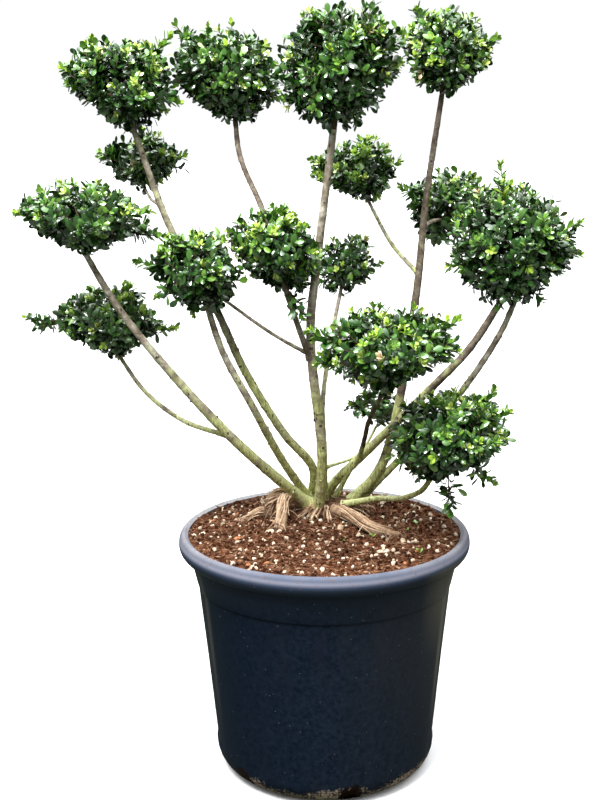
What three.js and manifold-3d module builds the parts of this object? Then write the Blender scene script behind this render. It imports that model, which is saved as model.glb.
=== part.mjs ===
// A Japanese holly grown as a cloud tree: several stems from one root crown, each carrying
// clipped clouds of leaf, in a black plastic nursery pot. Millimetres, +Z up, -Y to the viewer.
// The origin is the centre of the pot's flat underside.
import * as THREE from "three";
import { mergeVertices } from "three/addons/utils/BufferGeometryUtils.js";
import Module from "manifold-3d";

const wasm = await Module();
wasm.setup();

// Clearance between pieces that touch, and the distance at which corners are one
const GAP = 0.3;
const WELD = 1e-3;

// Pot: a tapered shell with a rounded heel, a flared neck and a rolled rim
const POT = {
  segments: 36,
  height: 442,
  rimRadius: 262,
  rimDepth: 38,
  rimWidth: 17,
  neckRadius: 245,
  neckDepth: 52,
  shoulderRadius: 233,
  stepWidth: 3,
  heelRadius: 201,
  heelRounding: 42,
  wall: 4,
};
const PANEL = { halfAngle: 22, depth: 2.5, bottom: 45, top: 400 };
const DRAIN = { count: 6, firstAngle: -78, width: 22, height: 13, level: 14 };

// Soil: level in the middle, lower against the pot's wall
const SOIL = { level: 442, levelRadius: 190, edgeLevel: 437, edgeRadius: 240 };

// Root crown: the low swollen foot that every stem rises from
const CROWN = { centre: [17, 101, 446], half: [70, 50, 26], sides: 12, rings: 8 };

// A limb tapers from a foot radius to a tip radius along a smooth route
const limb = (foot, tip, ...route) => ({ foot, tip, route });

const TRUNK = limb(10, 6, [-11, 85, 430], [-2, 48, 561], [-22, 25, 792], [-8, 15, 933], [19, 0, 1145]);
const ROOTS = [
  limb(12, 9.5, [21, 67, 456], [61, 9, 455], [87, -39, 452], [131, -50, 440]),
  limb(13, 10, [-31, 95, 458], [-69, 80, 482], [-95, 72, 476], [-102, 73, 436]),
  limb(12, 9, [-61, 82, 480], [-73, 50, 476], [-76, 13, 452], [-77, -7, 436]),
  limb(9, 5, [-98, 79, 450], [-116, 69, 452], [-155, 36, 440]),
  limb(13, 6, [46, 121, 450], [87, 157, 447], [82, 192, 438]),
];

// Stems rise from the crown or the trunk, and boughs from a stem, but for two from the crown
const LIMBS = {
  stem_top_right: limb(
    9.8, 4.6,
    [54, 109, 457], [110, 92, 533], [166, 76, 830], [187, 100, 1021], [215, 120, 1206],
  ),
  stem_left: limb(
    10.5, 5,
    [-29, 90, 459], [-159, 4, 605], [-270, -20, 738], [-350, -35, 849], [-403, -40, 945],
  ),
  stem_right_inner: limb(
    9, 6,
    [1, 134, 457], [27, 112, 499], [73, 88, 552], [182, 36, 678], [259, 10, 768], [308, 0, 849],
  ),
  stem_top_left: limb(
    8.3, 5.2,
    [-21, 124, 459], [-19, 85, 531], [-71, 50, 605], [-140, 16, 731], [-186, 5, 840], [-262, 20, 978],
    [-327, 40, 1159],
  ),
  stem_centre_left: limb(
    8.2, 5.2,
    [-23, 111, 459], [-75, 45, 557], [-127, -20, 676], [-175, -36, 775], [-200, -50, 863],
  ),
  stem_right_outer: limb(
    7, 4.8,
    [68, 113, 457], [142, 85, 545], [243, 50, 671], [313, 14, 795], [346, 6, 883],
  ),
  stem_front_low: limb(
    6, 4.6,
    [37, 84, 459], [101, 45, 482], [135, 10, 492], [170, -30, 517], [185, -72, 555],
  ),
  stem_top_left_centre: limb(
    5.2, 4.3,
    [-23, 27, 747], [-58, -15, 856], [-79, -20, 936], [-103, 0, 1012], [-142, 60, 1100], [-152, 90, 1178],
  ),
  bough_left_low: limb(4.8, 3.4, [-165, 3, 612], [-250, 30, 635], [-322, 60, 683], [-372, 77, 751]),
  bough_back_left: limb(2.7, 2.2, [-281, 25, 1020], [-301, 80, 1026], [-323, 170, 1042]),
  bough_centre_left: limb(3.3, 2.6, [-23, 27, 754], [-89, -10, 799], [-194, -49, 883]),
  bough_back_centre: limb(
    5, 3.4,
    [5, 100, 457], [3, 68, 572], [0, 64, 657], [16, 110, 765], [38, 174, 855],
  ),
  bough_back_right: limb(3.8, 3, [171, 83, 893], [131, 140, 937], [87, 226, 1021]),
  bough_far_right: limb(3.6, 3, [182, 94, 975], [204, 128, 982], [226, 168, 981]),
  bough_front: limb(
    5, 3.4,
    [22, 112, 460], [47, 98, 514], [66, 80, 550], [75, 35, 599], [79, -25, 645], [99, -116, 720],
  ),
  bough_back_low: limb(2.8, 2.2, [6, 74, 534], [69, 108, 551], [105, 128, 604]),
};
const LIMB_STEP = 48;
const LIMB_SIDES = 6;
const LIMB_CLEARANCE = 3;
const LIMB_TESTS = 40;

// A cloud has a centre, a half width, depth and height, a slope up to the right, and the few shoots
// that stand out of it, each given by its tip's place from the centre. Its stem leaves the limb that
// carries it at a share of that limb's length, which is less than 1 where the limb runs on.
const cloud = (carrier, centre, half, slope, shoots, stemShare = 1) => (
  { carrier, centre, half, slope, shoots, stemShare }
);

const CLOUDS = {
  cloud_top_left: cloud(
    "stem_top_left", [-343, 40, 1218], [98, 88, 84], -0.1,
    [[84, 0, 80], [-46, 10, 78], [-95, 0, 30], [95, -10, -26]],
  ),
  cloud_top_left_centre: cloud(
    "stem_top_left_centre", [-167, 90, 1232], [96, 86, 86], -0.06,
    [[-83, 10, 90], [-27, -10, 82], [97, -20, -35]],
  ),
  cloud_top_centre: cloud("trunk", [33, 0, 1241], [101, 90, 116], 0, [[104, 0, 48], [-62, -10, 84]]),
  cloud_top_right: cloud(
    "stem_top_right", [221, 120, 1271], [81, 76, 80], -0.05,
    [[-52, 0, 76], [-75, 10, 40], [84, 0, 27]],
  ),
  cloud_back_left: cloud(
    "bough_back_left", [-330, 200, 1088], [75, 70, 56], 0,
    [[-74, 0, 19], [74, -10, 10]],
  ),
  cloud_left: cloud(
    "stem_left", [-404, -40, 998], [100, 92, 68], -0.12,
    [[-106, 0, 12], [112, 0, 14], [134, 10, -28]],
  ),
  cloud_left_low: cloud(
    "bough_left_low", [-388, 85, 805], [95, 90, 69], 0,
    [[-144, 0, 12], [116, 10, -12], [42, 0, 64]],
  ),
  cloud_centre_left: cloud(
    "stem_centre_left", [-208, -50, 910], [80, 76, 74], 0.05,
    [[-101, 0, 19], [-68, -10, -37], [-12, -10, -66]],
  ),
  cloud_centre: cloud(
    "stem_top_left_centre", [-90, -30, 937], [84, 70, 77], -0.05,
    [[54, -10, -104]], 0.42,
  ),
  cloud_back_centre: cloud(
    "bough_back_centre", [52, 180, 894], [57, 56, 57], 0,
    [[56, 0, 6], [-55, 0, -30]],
  ),
  cloud_back_right: cloud(
    "bough_back_right", [67, 240, 1066], [79, 76, 62], 0.06,
    [[-78, 0, 24], [80, 0, 18]],
  ),
  cloud_far_right: cloud("bough_far_right", [245, 200, 1001], [80, 76, 69], 0, [[-92, 0, 36]]),
  cloud_right: cloud(
    "stem_right_inner", [327, 0, 943], [105, 100, 114], -0.14,
    [[-25, 0, 138], [110, 0, 41], [111, 0, -12], [-106, -10, -29], [46, -10, -88]],
  ),
  cloud_front: cloud(
    "bough_front", [102, -130, 783], [112, 95, 77], 0.08,
    [[-126, 0, 37], [-113, -10, -14], [114, 0, 54], [112, -10, 5]],
  ),
  cloud_front_low: cloud(
    "stem_front_low", [209, -100, 626], [101, 92, 87], 0.03,
    [[2, -10, -119], [75, 0, 87], [98, 0, 49], [76, -10, -70], [-83, 0, -38]],
  ),
  cloud_back_low: cloud("bough_back_low", [104, 130, 634], [46, 46, 42], 0, [[-46, 0, 7]]),
};
const CLOUD_SPACING = 0.1;
const CLOUD = { core: 0.62, lump: 0.1, twigs: 8, reach: 1.15, shootReach: 2.2 };
// Under its middle a cloud leans towards its stem, and is drawn in the more the flatter it is
const UNDERSIDE = { steepestLean: 0.6, roundPinch: 0.45, flatPinch: 1 };
// Twigs and leaves are in proportion to their cloud's mean half size
const TWIG = { sides: 3, foot: 0.046, tip: 0.042, start: 0.35, end: 0.8, spread: 0.08 };
const TWIG_HEIGHT = { highest: 0.96, lowest: -0.74 };
const LEAF = { length: 0.58, width: 0.42, thickness: 0.03, broadest: 0.6, sink: 0.022, tilt: 1 };
const ROSETTE = { leaves: 3, spacing: 0.06, rise: 0.6, endShoulder: 0.04 };
const STEM_TAPER = 0.9;
const BACK = new THREE.Vector3(0, 1, 0);
// A direction that no twig follows, to set the first leaf's side by
const ASKEW = new THREE.Vector3(0.3, 0.2, 1);

const FINISH = {
  pot: { color: 0x14171f, roughness: 0.5, metalness: 0 },
  soil: { color: 0x4a3426, roughness: 0.95, metalness: 0 },
  bark: { color: 0x6f6650, roughness: 0.85, metalness: 0 },
  foliage: { color: 0x3f5c22, roughness: 0.55, metalness: 0 },
};

// Geometry to solid and back

// A geometry whose neighbouring faces share their corners
function onlyPlaces(geometry) {
  geometry.deleteAttribute("normal");
  geometry.deleteAttribute("uv");
  return mergeVertices(geometry, WELD);
}

function solidFrom(geometry) {
  const merged = onlyPlaces(geometry);
  const index = merged.index.array;
  const triangles = [];
  for (let i = 0; i < index.length; i += 3) {
    const [a, b, c] = index.slice(i, i + 3);
    if (a !== b && b !== c && c !== a) triangles.push(a, b, c);
  }
  const vertProperties = new Float32Array(merged.attributes.position.array);
  const triVerts = new Uint32Array(triangles);
  return new wasm.Manifold(new wasm.Mesh({ numProp: 3, vertProperties, triVerts }));
}

function largestPiece(solid) {
  const pieces = solid.decompose();
  return pieces.reduce((best, piece) => (piece.volume() > best.volume() ? piece : best));
}

function union(solids) {
  return solids.reduce((whole, solid) => whole.add(solid));
}

function addMesh(group, name, solid, finish) {
  const { vertProperties, triVerts } = solid.getMesh();
  const geometry = new THREE.BufferGeometry();
  geometry.setAttribute("position", new THREE.BufferAttribute(vertProperties, 3));
  geometry.setIndex(new THREE.BufferAttribute(triVerts, 1));
  geometry.computeVertexNormals();
  const mesh = new THREE.Mesh(geometry, new THREE.MeshStandardMaterial(finish));
  mesh.name = name;
  group.add(mesh);
}

function vector(point) {
  return new THREE.Vector3(...point);
}

// Pot and soil

const neckLevel = POT.height - POT.rimDepth;
const shoulderLevel = neckLevel - POT.neckDepth;
const footRadius = POT.heelRadius - POT.heelRounding;

// The pot's outside from the middle of the underside to the neck, moved inwards by an inset
function wallPath(inset) {
  const path = new THREE.Path();
  path.moveTo(0, inset);
  path.lineTo(footRadius, inset);
  path.absarc(footRadius, POT.heelRounding, POT.heelRounding - inset, -Math.PI / 2, 0);
  path.lineTo(POT.shoulderRadius - POT.stepWidth - inset, shoulderLevel - POT.stepWidth);
  path.lineTo(POT.shoulderRadius - inset, shoulderLevel);
  path.lineTo(POT.neckRadius - inset, neckLevel);
  return path;
}

function turned(points) {
  const geometry = new THREE.LatheGeometry(points, POT.segments);
  return solidFrom(geometry.rotateX(Math.PI / 2));
}

function potOutline() {
  const path = wallPath(0);
  const crest = POT.rimRadius - POT.rimWidth;
  const broadest = POT.height - POT.rimDepth / 2;
  path.quadraticCurveTo(POT.rimRadius, neckLevel, POT.rimRadius, broadest);
  path.quadraticCurveTo(POT.rimRadius, POT.height, crest + POT.rimWidth / 3, POT.height);
  path.lineTo(crest, POT.height - POT.wall);
  const inside = wallPath(POT.wall).getPoints(1).reverse();
  return [...path.getPoints(2), ...inside];
}

// A wedge of the wall's outer skin, cut away to leave one flat-bottomed panel
function panelCut(angle) {
  const half = THREE.MathUtils.degToRad(PANEL.halfAngle);
  const wedge = new THREE.Shape();
  wedge.moveTo(0, 0);
  wedge.lineTo(POT.rimRadius * Math.cos(angle - half), POT.rimRadius * Math.sin(angle - half));
  wedge.absarc(0, 0, POT.rimRadius, angle - half, angle + half);
  const height = PANEL.top - PANEL.bottom;
  const block = new THREE.ExtrudeGeometry(wedge, { depth: height, bevelEnabled: false, curveSegments: 6 });
  const kept = [...wallPath(PANEL.depth).getPoints(2), new THREE.Vector2(0, neckLevel)];
  return solidFrom(block.translate(0, 0, PANEL.bottom)).subtract(turned(kept));
}

function drainCut(angle) {
  const length = 3 * POT.heelRounding;
  const hole = new THREE.CylinderGeometry(DRAIN.height / 2, DRAIN.height / 2, length, 8);
  hole.rotateZ(Math.PI / 2).scale(1, DRAIN.width / DRAIN.height, 1);
  hole.translate(footRadius + length / 4, 0, DRAIN.level).rotateZ(angle);
  return solidFrom(hole);
}

function potSolid() {
  let solid = turned(potOutline());
  for (const angle of [0, Math.PI]) solid = solid.subtract(panelCut(angle));
  for (let i = 0; i < DRAIN.count; i += 1) {
    const angle = THREE.MathUtils.degToRad(DRAIN.firstAngle) + (i * 2 * Math.PI) / DRAIN.count;
    solid = solid.subtract(drainCut(angle));
  }
  return solid;
}

function soilSolid() {
  const inset = POT.wall + GAP;
  const outline = wallPath(inset).getPoints(1);
  outline.push(new THREE.Vector2(SOIL.edgeRadius, SOIL.edgeLevel));
  outline.push(new THREE.Vector2(SOIL.levelRadius, SOIL.level), new THREE.Vector2(0, SOIL.level));
  return turned(outline);
}

// Limbs

function limbCurve({ route }) {
  return new THREE.CatmullRomCurve3(route.map(vector));
}

// A tapering round limb: a cylinder whose rings are moved onto the limb's curve
function limbSolid({ foot, tip, route }, swell = 0) {
  const curve = limbCurve({ route });
  const steps = Math.max(3, Math.ceil(curve.getLength() / LIMB_STEP));
  const frames = curve.computeFrenetFrames(steps, false);
  const geometry = new THREE.CylinderGeometry(1, 1, 1, LIMB_SIDES, steps);
  const position = geometry.attributes.position;
  const flat = new THREE.Vector3();
  for (let i = 0; i < position.count; i += 1) {
    flat.fromBufferAttribute(position, i);
    const along = flat.y + 0.5;
    const ring = Math.round(along * steps);
    const radius = THREE.MathUtils.lerp(foot, tip, along) + swell;
    const place = curve.getPointAt(along);
    place.addScaledVector(frames.normals[ring], flat.x * radius);
    place.addScaledVector(frames.binormals[ring], -flat.z * radius);
    if (ring % steps === 0) place.addScaledVector(frames.tangents[ring], 2 * swell * flat.y);
    position.setXYZ(i, ...place);
  }
  return solidFrom(geometry);
}

// The trunk, the crown and the roots in one, cut flat on the soil
function trunkSolid(swell = 0) {
  const crown = new THREE.SphereGeometry(1, CROWN.sides, CROWN.rings);
  crown.scale(...CROWN.half.map((half) => half + swell)).translate(...CROWN.centre);
  const wood = union([solidFrom(crown), ...[TRUNK, ...ROOTS].map((wooden) => limbSolid(wooden, swell))]);
  const ground = new THREE.BoxGeometry(2 * POT.rimRadius, 2 * POT.rimRadius, POT.height);
  ground.translate(0, 0, SOIL.level + GAP - swell - POT.height / 2);
  return largestPiece(wood.subtract(solidFrom(ground)));
}

// Clouds

function seededRandom(seed) {
  let state = seed;
  return () => {
    state = (state + 0x6d2b79f5) | 0;
    let mixed = Math.imul(state ^ (state >>> 15), 1 | state);
    mixed = (mixed + Math.imul(mixed ^ (mixed >>> 7), 61 | mixed)) ^ mixed;
    return ((mixed ^ (mixed >>> 14)) >>> 0) / 2 ** 32;
  };
}

// Where a cloud's stem leaves the limb that carries it
function stemFoot({ carrier, stemShare }) {
  return limbCurve({ trunk: TRUNK, ...LIMBS }[carrier]).getPointAt(stemShare);
}

// How far the underside leans, across and back, for each millimetre below the middle
function leanOf(shape) {
  const rise = vector(shape.centre).sub(stemFoot(shape));
  const { steepestLean } = UNDERSIDE;
  return [rise.x, rise.y].map((run) => THREE.MathUtils.clamp(run / rise.z, -steepestLean, steepestLean));
}

for (const shape of Object.values(CLOUDS)) {
  shape.lean = leanOf(shape);
  shape.pinch = UNDERSIDE.roundPinch + UNDERSIDE.flatPinch * (1 - shape.half[2] / shape.half[0]);
}

// How far the underside is drawn in towards the stem at a height between -1 and 1
function drawnIn({ pinch }, height) {
  return 1 + pinch * THREE.MathUtils.clamp(height, -1, 0);
}

// The place in a cloud in a given direction, at a share of the way out to its surface
function placeInCloud(shape, direction, share) {
  const offset = vector(shape.half).multiply(direction).multiplyScalar(share);
  const inward = drawnIn(shape, direction.z);
  const depth = Math.min(offset.z, 0);
  offset.x = offset.x * inward + shape.lean[0] * depth;
  offset.y = offset.y * inward + shape.lean[1] * depth;
  offset.z += shape.slope * offset.x;
  return offset.add(vector(shape.centre));
}

// 0 at a cloud's centre and 1 on its surface
function shareOut(shape, place) {
  const offset = place.clone().sub(vector(shape.centre));
  offset.z -= shape.slope * offset.x;
  const depth = Math.min(offset.z, 0);
  offset.x -= shape.lean[0] * depth;
  offset.y -= shape.lean[1] * depth;
  offset.divide(vector(shape.half));
  const inward = drawnIn(shape, offset.z);
  return Math.hypot(offset.x / inward, offset.y / inward, offset.z);
}

// The dense middle of a cloud, with lumps
function coreSolid(shape, random) {
  const geometry = onlyPlaces(new THREE.IcosahedronGeometry(1, 1));
  const position = geometry.attributes.position;
  const direction = new THREE.Vector3();
  for (let i = 0; i < position.count; i += 1) {
    direction.fromBufferAttribute(position, i);
    const share = CLOUD.core + CLOUD.lump * (random() - 0.5);
    position.setXYZ(i, ...placeInCloud(shape, direction, share));
  }
  return solidFrom(geometry);
}

// A straight tapering twig between two places, with one of its faces turned away from a side
function twigSolid(from, to, side, foot, tip, sides) {
  const way = to.clone().sub(from);
  const length = way.length();
  const geometry = new THREE.CylinderGeometry(tip, foot, length, sides);
  const across = new THREE.Vector3().crossVectors(way.normalize(), side).normalize();
  const turn = new THREE.Matrix4().makeBasis(across, way, new THREE.Vector3().crossVectors(across, way));
  return solidFrom(geometry.translate(0, length / 2, 0).applyMatrix4(turn).translate(...from));
}

// A leaf of eight faces, broadest past its middle, from its foot along a direction, with its
// upper face turned outwards and tilted a little
function leafGeometry(foot, direction, outward, tilt, size) {
  const geometry = new THREE.OctahedronGeometry(1, 0);
  const position = geometry.attributes.position;
  for (let i = 0; i < position.count; i += 1) {
    const y = position.getY(i);
    const along = y === 0 ? LEAF.broadest : (y + 1) / 2;
    const sideways = (position.getX(i) * LEAF.width) / 2;
    position.setXYZ(i, sideways, along * LEAF.length - LEAF.sink, (position.getZ(i) * LEAF.thickness) / 2);
  }
  const across = new THREE.Vector3().crossVectors(direction, outward).normalize();
  const face = new THREE.Vector3().crossVectors(across, direction);
  const turn = new THREE.Matrix4().makeBasis(across, direction, face);
  geometry.rotateY(LEAF.tilt * (tilt - 0.5)).scale(size, size, size);
  return geometry.applyMatrix4(turn).translate(...foot);
}

// A place belongs to a cloud if it is inside its reach and no other cloud lies closer
function belongs(name, place, reach) {
  const own = shareOut(CLOUDS[name], place);
  if (own > reach) return false;
  const others = Object.keys(CLOUDS).filter((other) => other !== name);
  return others.every((other) => shareOut(CLOUDS[other], place) > own + CLOUD_SPACING);
}

// Places along every limb, with its radius there, to keep leaves clear of
const limbPoints = [TRUNK, ...Object.values(LIMBS)].flatMap((wooden) => {
  const radius = (i) => THREE.MathUtils.lerp(wooden.foot, wooden.tip, i / LIMB_TESTS);
  return limbCurve(wooden).getSpacedPoints(LIMB_TESTS).map((point, i) => ({ point, radius: radius(i) }));
});

function clearOfLimbs(place) {
  return limbPoints.every(({ point, radius }) => point.distanceTo(place) > radius + LIMB_CLEARANCE);
}

function leafFits(name, geometry, reach) {
  const position = geometry.attributes.position;
  const place = new THREE.Vector3();
  for (let i = 0; i < position.count; i += 1) {
    place.fromBufferAttribute(position, i);
    if (!belongs(name, place, reach) || !clearOfLimbs(place)) return false;
  }
  return true;
}

// One twig that ends in a rosette of leaves: a leaf that would leave the cloud's space, or touch
// a limb or anything but its own twig, is skipped
function addLeafyTwig(solids, name, from, to, reach, size, random) {
  if (!belongs(name, to, reach) || !clearOfLimbs(to)) return;
  const forward = to.clone().sub(from).normalize();
  const side = new THREE.Vector3().crossVectors(forward, ASKEW).normalize();
  side.applyAxisAngle(forward, random() * Math.PI);
  const leaves = [];
  for (let i = 0; i < ROSETTE.leaves; i += 1) {
    const around = side.clone().applyAxisAngle(forward, Math.PI + (i * 2 * Math.PI) / ROSETTE.leaves);
    const foot = to.clone().addScaledVector(forward, -size * (ROSETTE.endShoulder + i * ROSETTE.spacing));
    const direction = forward.clone().multiplyScalar(ROSETTE.rise).addScaledVector(around, 1).normalize();
    const leaf = leafGeometry(foot, direction, forward, random(), size);
    if (!leafFits(name, leaf, reach)) continue;
    const solid = solidFrom(leaf);
    if (solids.every((other) => other.intersect(solid).isEmpty())) leaves.push(solid);
  }
  solids.push(twigSolid(from, to, side, size * TWIG.foot, size * TWIG.tip, TWIG.sides), ...leaves);
}

// Directions spread evenly over the whole cloud by the golden angle
function evenDirections(count) {
  const golden = Math.PI * (3 - Math.sqrt(5));
  return Array.from({ length: count }, (_, i) => {
    const height = THREE.MathUtils.lerp(TWIG_HEIGHT.highest, TWIG_HEIGHT.lowest, (i + 0.5) / count);
    const level = Math.sqrt(1 - height * height);
    return new THREE.Vector3(level * Math.cos(i * golden), level * Math.sin(i * golden), height);
  });
}

function cloudSolid(name, seed) {
  const shape = CLOUDS[name];
  const random = seededRandom(seed);
  const stemRadius = STEM_TAPER * { trunk: TRUNK, ...LIMBS }[shape.carrier].tip;
  const centre = vector(shape.centre);
  const size = Math.cbrt(shape.half[0] * shape.half[1] * shape.half[2]);
  const stem = twigSolid(stemFoot(shape), centre, BACK, stemRadius, STEM_TAPER * stemRadius, LIMB_SIDES);
  const solids = [coreSolid(shape, random), stem];
  for (const direction of evenDirections(CLOUD.twigs)) {
    const from = placeInCloud(shape, direction, TWIG.start);
    const to = placeInCloud(shape, direction, TWIG.end + TWIG.spread * (random() - 0.5));
    addLeafyTwig(solids, name, from, to, CLOUD.reach, size, random);
  }
  const leafRise = (size * LEAF.length * ROSETTE.rise) / Math.hypot(1, ROSETTE.rise);
  for (const tip of shape.shoots) {
    const out = vector(tip);
    const from = centre.clone().addScaledVector(out, TWIG.start);
    const to = centre.clone().addScaledVector(out, 1 - leafRise / out.length());
    addLeafyTwig(solids, name, from, to, CLOUD.shootReach, size, random);
  }
  return union(solids);
}

// The whole plant, each piece cut clear of those before it

const plant = new THREE.Group();
addMesh(plant, "pot", potSolid(), FINISH.pot);
addMesh(plant, "soil", soilSolid(), FINISH.soil);
addMesh(plant, "trunk", trunkSolid(), FINISH.bark);

let taken = trunkSolid(GAP);
for (const [name, wooden] of Object.entries(LIMBS)) {
  addMesh(plant, name, largestPiece(limbSolid(wooden).subtract(taken)), FINISH.bark);
  taken = taken.add(limbSolid(wooden, GAP));
}
Object.keys(CLOUDS).forEach((name, i) => {
  addMesh(plant, name, largestPiece(cloudSolid(name, i + 1).subtract(taken)), FINISH.foliage);
});

export default plant;
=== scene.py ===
# A Japanese holly grown as a cloud tree, in its nursery pot. Metres, +Z up, -Y to the viewer, with
# the origin at the centre of the pot's flat underside.
import math

import bmesh
import bpy
import numpy as np
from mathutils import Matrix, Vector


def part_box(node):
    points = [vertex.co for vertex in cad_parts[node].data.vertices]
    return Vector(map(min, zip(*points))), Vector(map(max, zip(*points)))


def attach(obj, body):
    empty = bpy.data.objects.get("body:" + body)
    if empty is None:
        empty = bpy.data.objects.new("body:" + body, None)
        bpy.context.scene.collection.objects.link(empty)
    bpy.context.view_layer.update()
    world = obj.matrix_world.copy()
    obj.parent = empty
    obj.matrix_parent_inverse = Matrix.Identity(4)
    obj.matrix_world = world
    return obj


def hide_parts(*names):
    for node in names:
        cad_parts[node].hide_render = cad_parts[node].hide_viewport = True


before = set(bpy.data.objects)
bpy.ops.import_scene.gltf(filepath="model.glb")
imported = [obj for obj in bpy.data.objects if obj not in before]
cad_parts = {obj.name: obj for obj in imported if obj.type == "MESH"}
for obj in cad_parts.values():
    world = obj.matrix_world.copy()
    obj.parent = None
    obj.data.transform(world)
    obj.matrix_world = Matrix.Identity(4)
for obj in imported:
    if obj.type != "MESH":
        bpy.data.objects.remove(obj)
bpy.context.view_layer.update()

# Pot: one injection-moulded shell of black polypropylene with a blue cast. It tapers to a rounded
# heel, steps out under a flared neck and is rolled outwards at the rim. Two shallow panels stiffen
# its sides, and six drain holes are cut through the heel.
POT_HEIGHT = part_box("pot")[1].z
RIM_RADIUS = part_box("pot")[1].x
POT_SEGMENTS = 144
RIM_HALF_DEPTH = 0.019
RIM_CREST = 0.0113
RIM_WIDTH = 0.017
RIM_OVERHANG = 0.017
LIP_DROP = 0.004
NECK_DEPTH = 0.052
NECK_FLARE = 0.012
STEP_WIDTH = 0.003
HEEL_RADIUS = 0.201
HEEL_ROUNDING = 0.042
POT_WALL = 0.004
PANEL_LOW = 0.045
PANEL_HIGH = 0.4
WALL_RINGS = (PANEL_LOW, 0.14, 0.24)
PANEL_HALF_TURN = 22.5
PANEL_EDGE = 0.003
PANEL_DEPTH = 0.0025
DRAIN_COUNT = 6
DRAIN_FIRST_TURN = -78
DRAIN_WIDTH = 0.022
DRAIN_HEIGHT = 0.013
DRAIN_LEVEL = 0.014
DRAIN_LENGTH = 0.1
DRAIN_SIDES = 24
SHARPEST_SMOOTH = 32

foot_radius = HEEL_RADIUS - HEEL_ROUNDING
neck_radius = RIM_RADIUS - RIM_OVERHANG
rim_level = POT_HEIGHT - RIM_HALF_DEPTH
neck_level = rim_level - RIM_HALF_DEPTH
shoulder_radius = neck_radius - NECK_FLARE
shoulder_level = neck_level - NECK_DEPTH
panel_top_radius = neck_radius - NECK_FLARE * (neck_level - PANEL_HIGH) / NECK_DEPTH


def arc(centre, halves, start, end, steps):
    """Places on part of an ellipse as (radius, level), without its first."""
    turns = np.radians(np.linspace(start, end, steps + 1)[1:])
    radii = centre[0] + halves[0] * np.cos(turns)
    levels = centre[1] + halves[1] * np.sin(turns)
    return list(zip(radii.tolist(), levels.tolist()))


def wall_radius(level):
    """The outer radius of the pot's straight wall at a level between heel and shoulder."""
    levels = (HEEL_ROUNDING, shoulder_level - STEP_WIDTH)
    return float(np.interp(level, levels, (HEEL_RADIUS, shoulder_radius - STEP_WIDTH)))


def turn_up(name, profile, segments):
    """A closed round body, extruded ring by ring from the base up a profile of (radius, level)."""
    bpy.ops.object.select_all(action="DESELECT")
    bpy.ops.mesh.primitive_circle_add(vertices=segments, radius=profile[0][0], fill_type="NGON")
    piece = bpy.context.object
    piece.name = name
    bpy.ops.object.mode_set(mode="EDIT")
    bpy.ops.mesh.select_mode(type="FACE")
    bpy.ops.transform.translate(value=(0, 0, profile[0][1]))
    for (radius, level), (next_radius, next_level) in zip(profile, profile[1:]):
        bpy.ops.mesh.extrude_region_move(TRANSFORM_OT_translate={"value": (0, 0, next_level - level)})
        share = next_radius / radius
        bpy.ops.transform.resize(value=(share, share, 1), center_override=(0, 0, next_level))
    bpy.ops.mesh.select_all(action="SELECT")
    bpy.ops.mesh.normals_make_consistent(inside=False)
    bpy.ops.object.mode_set(mode="OBJECT")
    return piece


def select_faces(piece, chosen):
    """Selects the faces of a piece in edit mode that a test of their centre and normal chooses."""
    shape = bmesh.from_edit_mesh(piece.data)
    for face in shape.faces:
        face.select_set(chosen(face.calc_center_median(), face.normal))
    bmesh.update_edit_mesh(piece.data)


def in_side_panel(centre, normal):
    """True for the outer faces of the wall inside either panel's outline."""
    outward = centre.x * normal.x + centre.y * normal.y > 0
    turn = abs(math.degrees(math.atan2(centre.y, abs(centre.x))))
    return outward and PANEL_LOW < centre.z < PANEL_HIGH and turn < PANEL_HALF_TURN


pot_profile = [(foot_radius, 0)]
pot_profile += arc((foot_radius, HEEL_ROUNDING), (HEEL_ROUNDING, HEEL_ROUNDING), -90, 0, 8)
pot_profile += [(wall_radius(level), level) for level in WALL_RINGS]
pot_profile += [(shoulder_radius - STEP_WIDTH, shoulder_level - STEP_WIDTH)]
pot_profile += [(shoulder_radius, shoulder_level), (panel_top_radius, PANEL_HIGH), (neck_radius, neck_level)]
pot_profile += arc((neck_radius, rim_level), (RIM_OVERHANG, RIM_HALF_DEPTH), -90, 0, 8)
pot_profile += arc((RIM_RADIUS - RIM_CREST, rim_level), (RIM_CREST, RIM_HALF_DEPTH), 0, 90, 8)
pot_profile += [(RIM_RADIUS - RIM_WIDTH, POT_HEIGHT - LIP_DROP)]
pot_profile += [(neck_radius - POT_WALL, neck_level), (shoulder_radius - POT_WALL, shoulder_level)]
pot_profile += [(HEEL_RADIUS - POT_WALL, HEEL_ROUNDING), (foot_radius - POT_WALL, POT_WALL)]
pot = turn_up("pot_shell", pot_profile, POT_SEGMENTS)

bpy.ops.object.mode_set(mode="EDIT")
select_faces(pot, in_side_panel)
bpy.ops.mesh.inset(thickness=PANEL_EDGE, depth=-PANEL_DEPTH)
bpy.ops.object.mode_set(mode="OBJECT")

bpy.ops.object.select_all(action="DESELECT")
for number in range(DRAIN_COUNT):
    angle = math.radians(DRAIN_FIRST_TURN + number * 360 / DRAIN_COUNT)
    bpy.ops.mesh.primitive_cylinder_add(
        vertices=DRAIN_SIDES, radius=0.5, depth=DRAIN_LENGTH, scale=(DRAIN_WIDTH, DRAIN_HEIGHT, 1),
        location=(HEEL_RADIUS * math.cos(angle), HEEL_RADIUS * math.sin(angle), DRAIN_LEVEL),
        rotation=(math.pi / 2, 0, angle + math.pi / 2))
    drill = bpy.context.object
    drilling = pot.modifiers.new("drain", "BOOLEAN")
    drilling.object = drill
    bpy.context.view_layer.objects.active = pot
    bpy.ops.object.modifier_apply(modifier="drain")
    bpy.data.objects.remove(drill)
pot.select_set(True)
bpy.ops.object.shade_smooth_by_angle(angle=math.radians(SHARPEST_SMOOTH))


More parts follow.
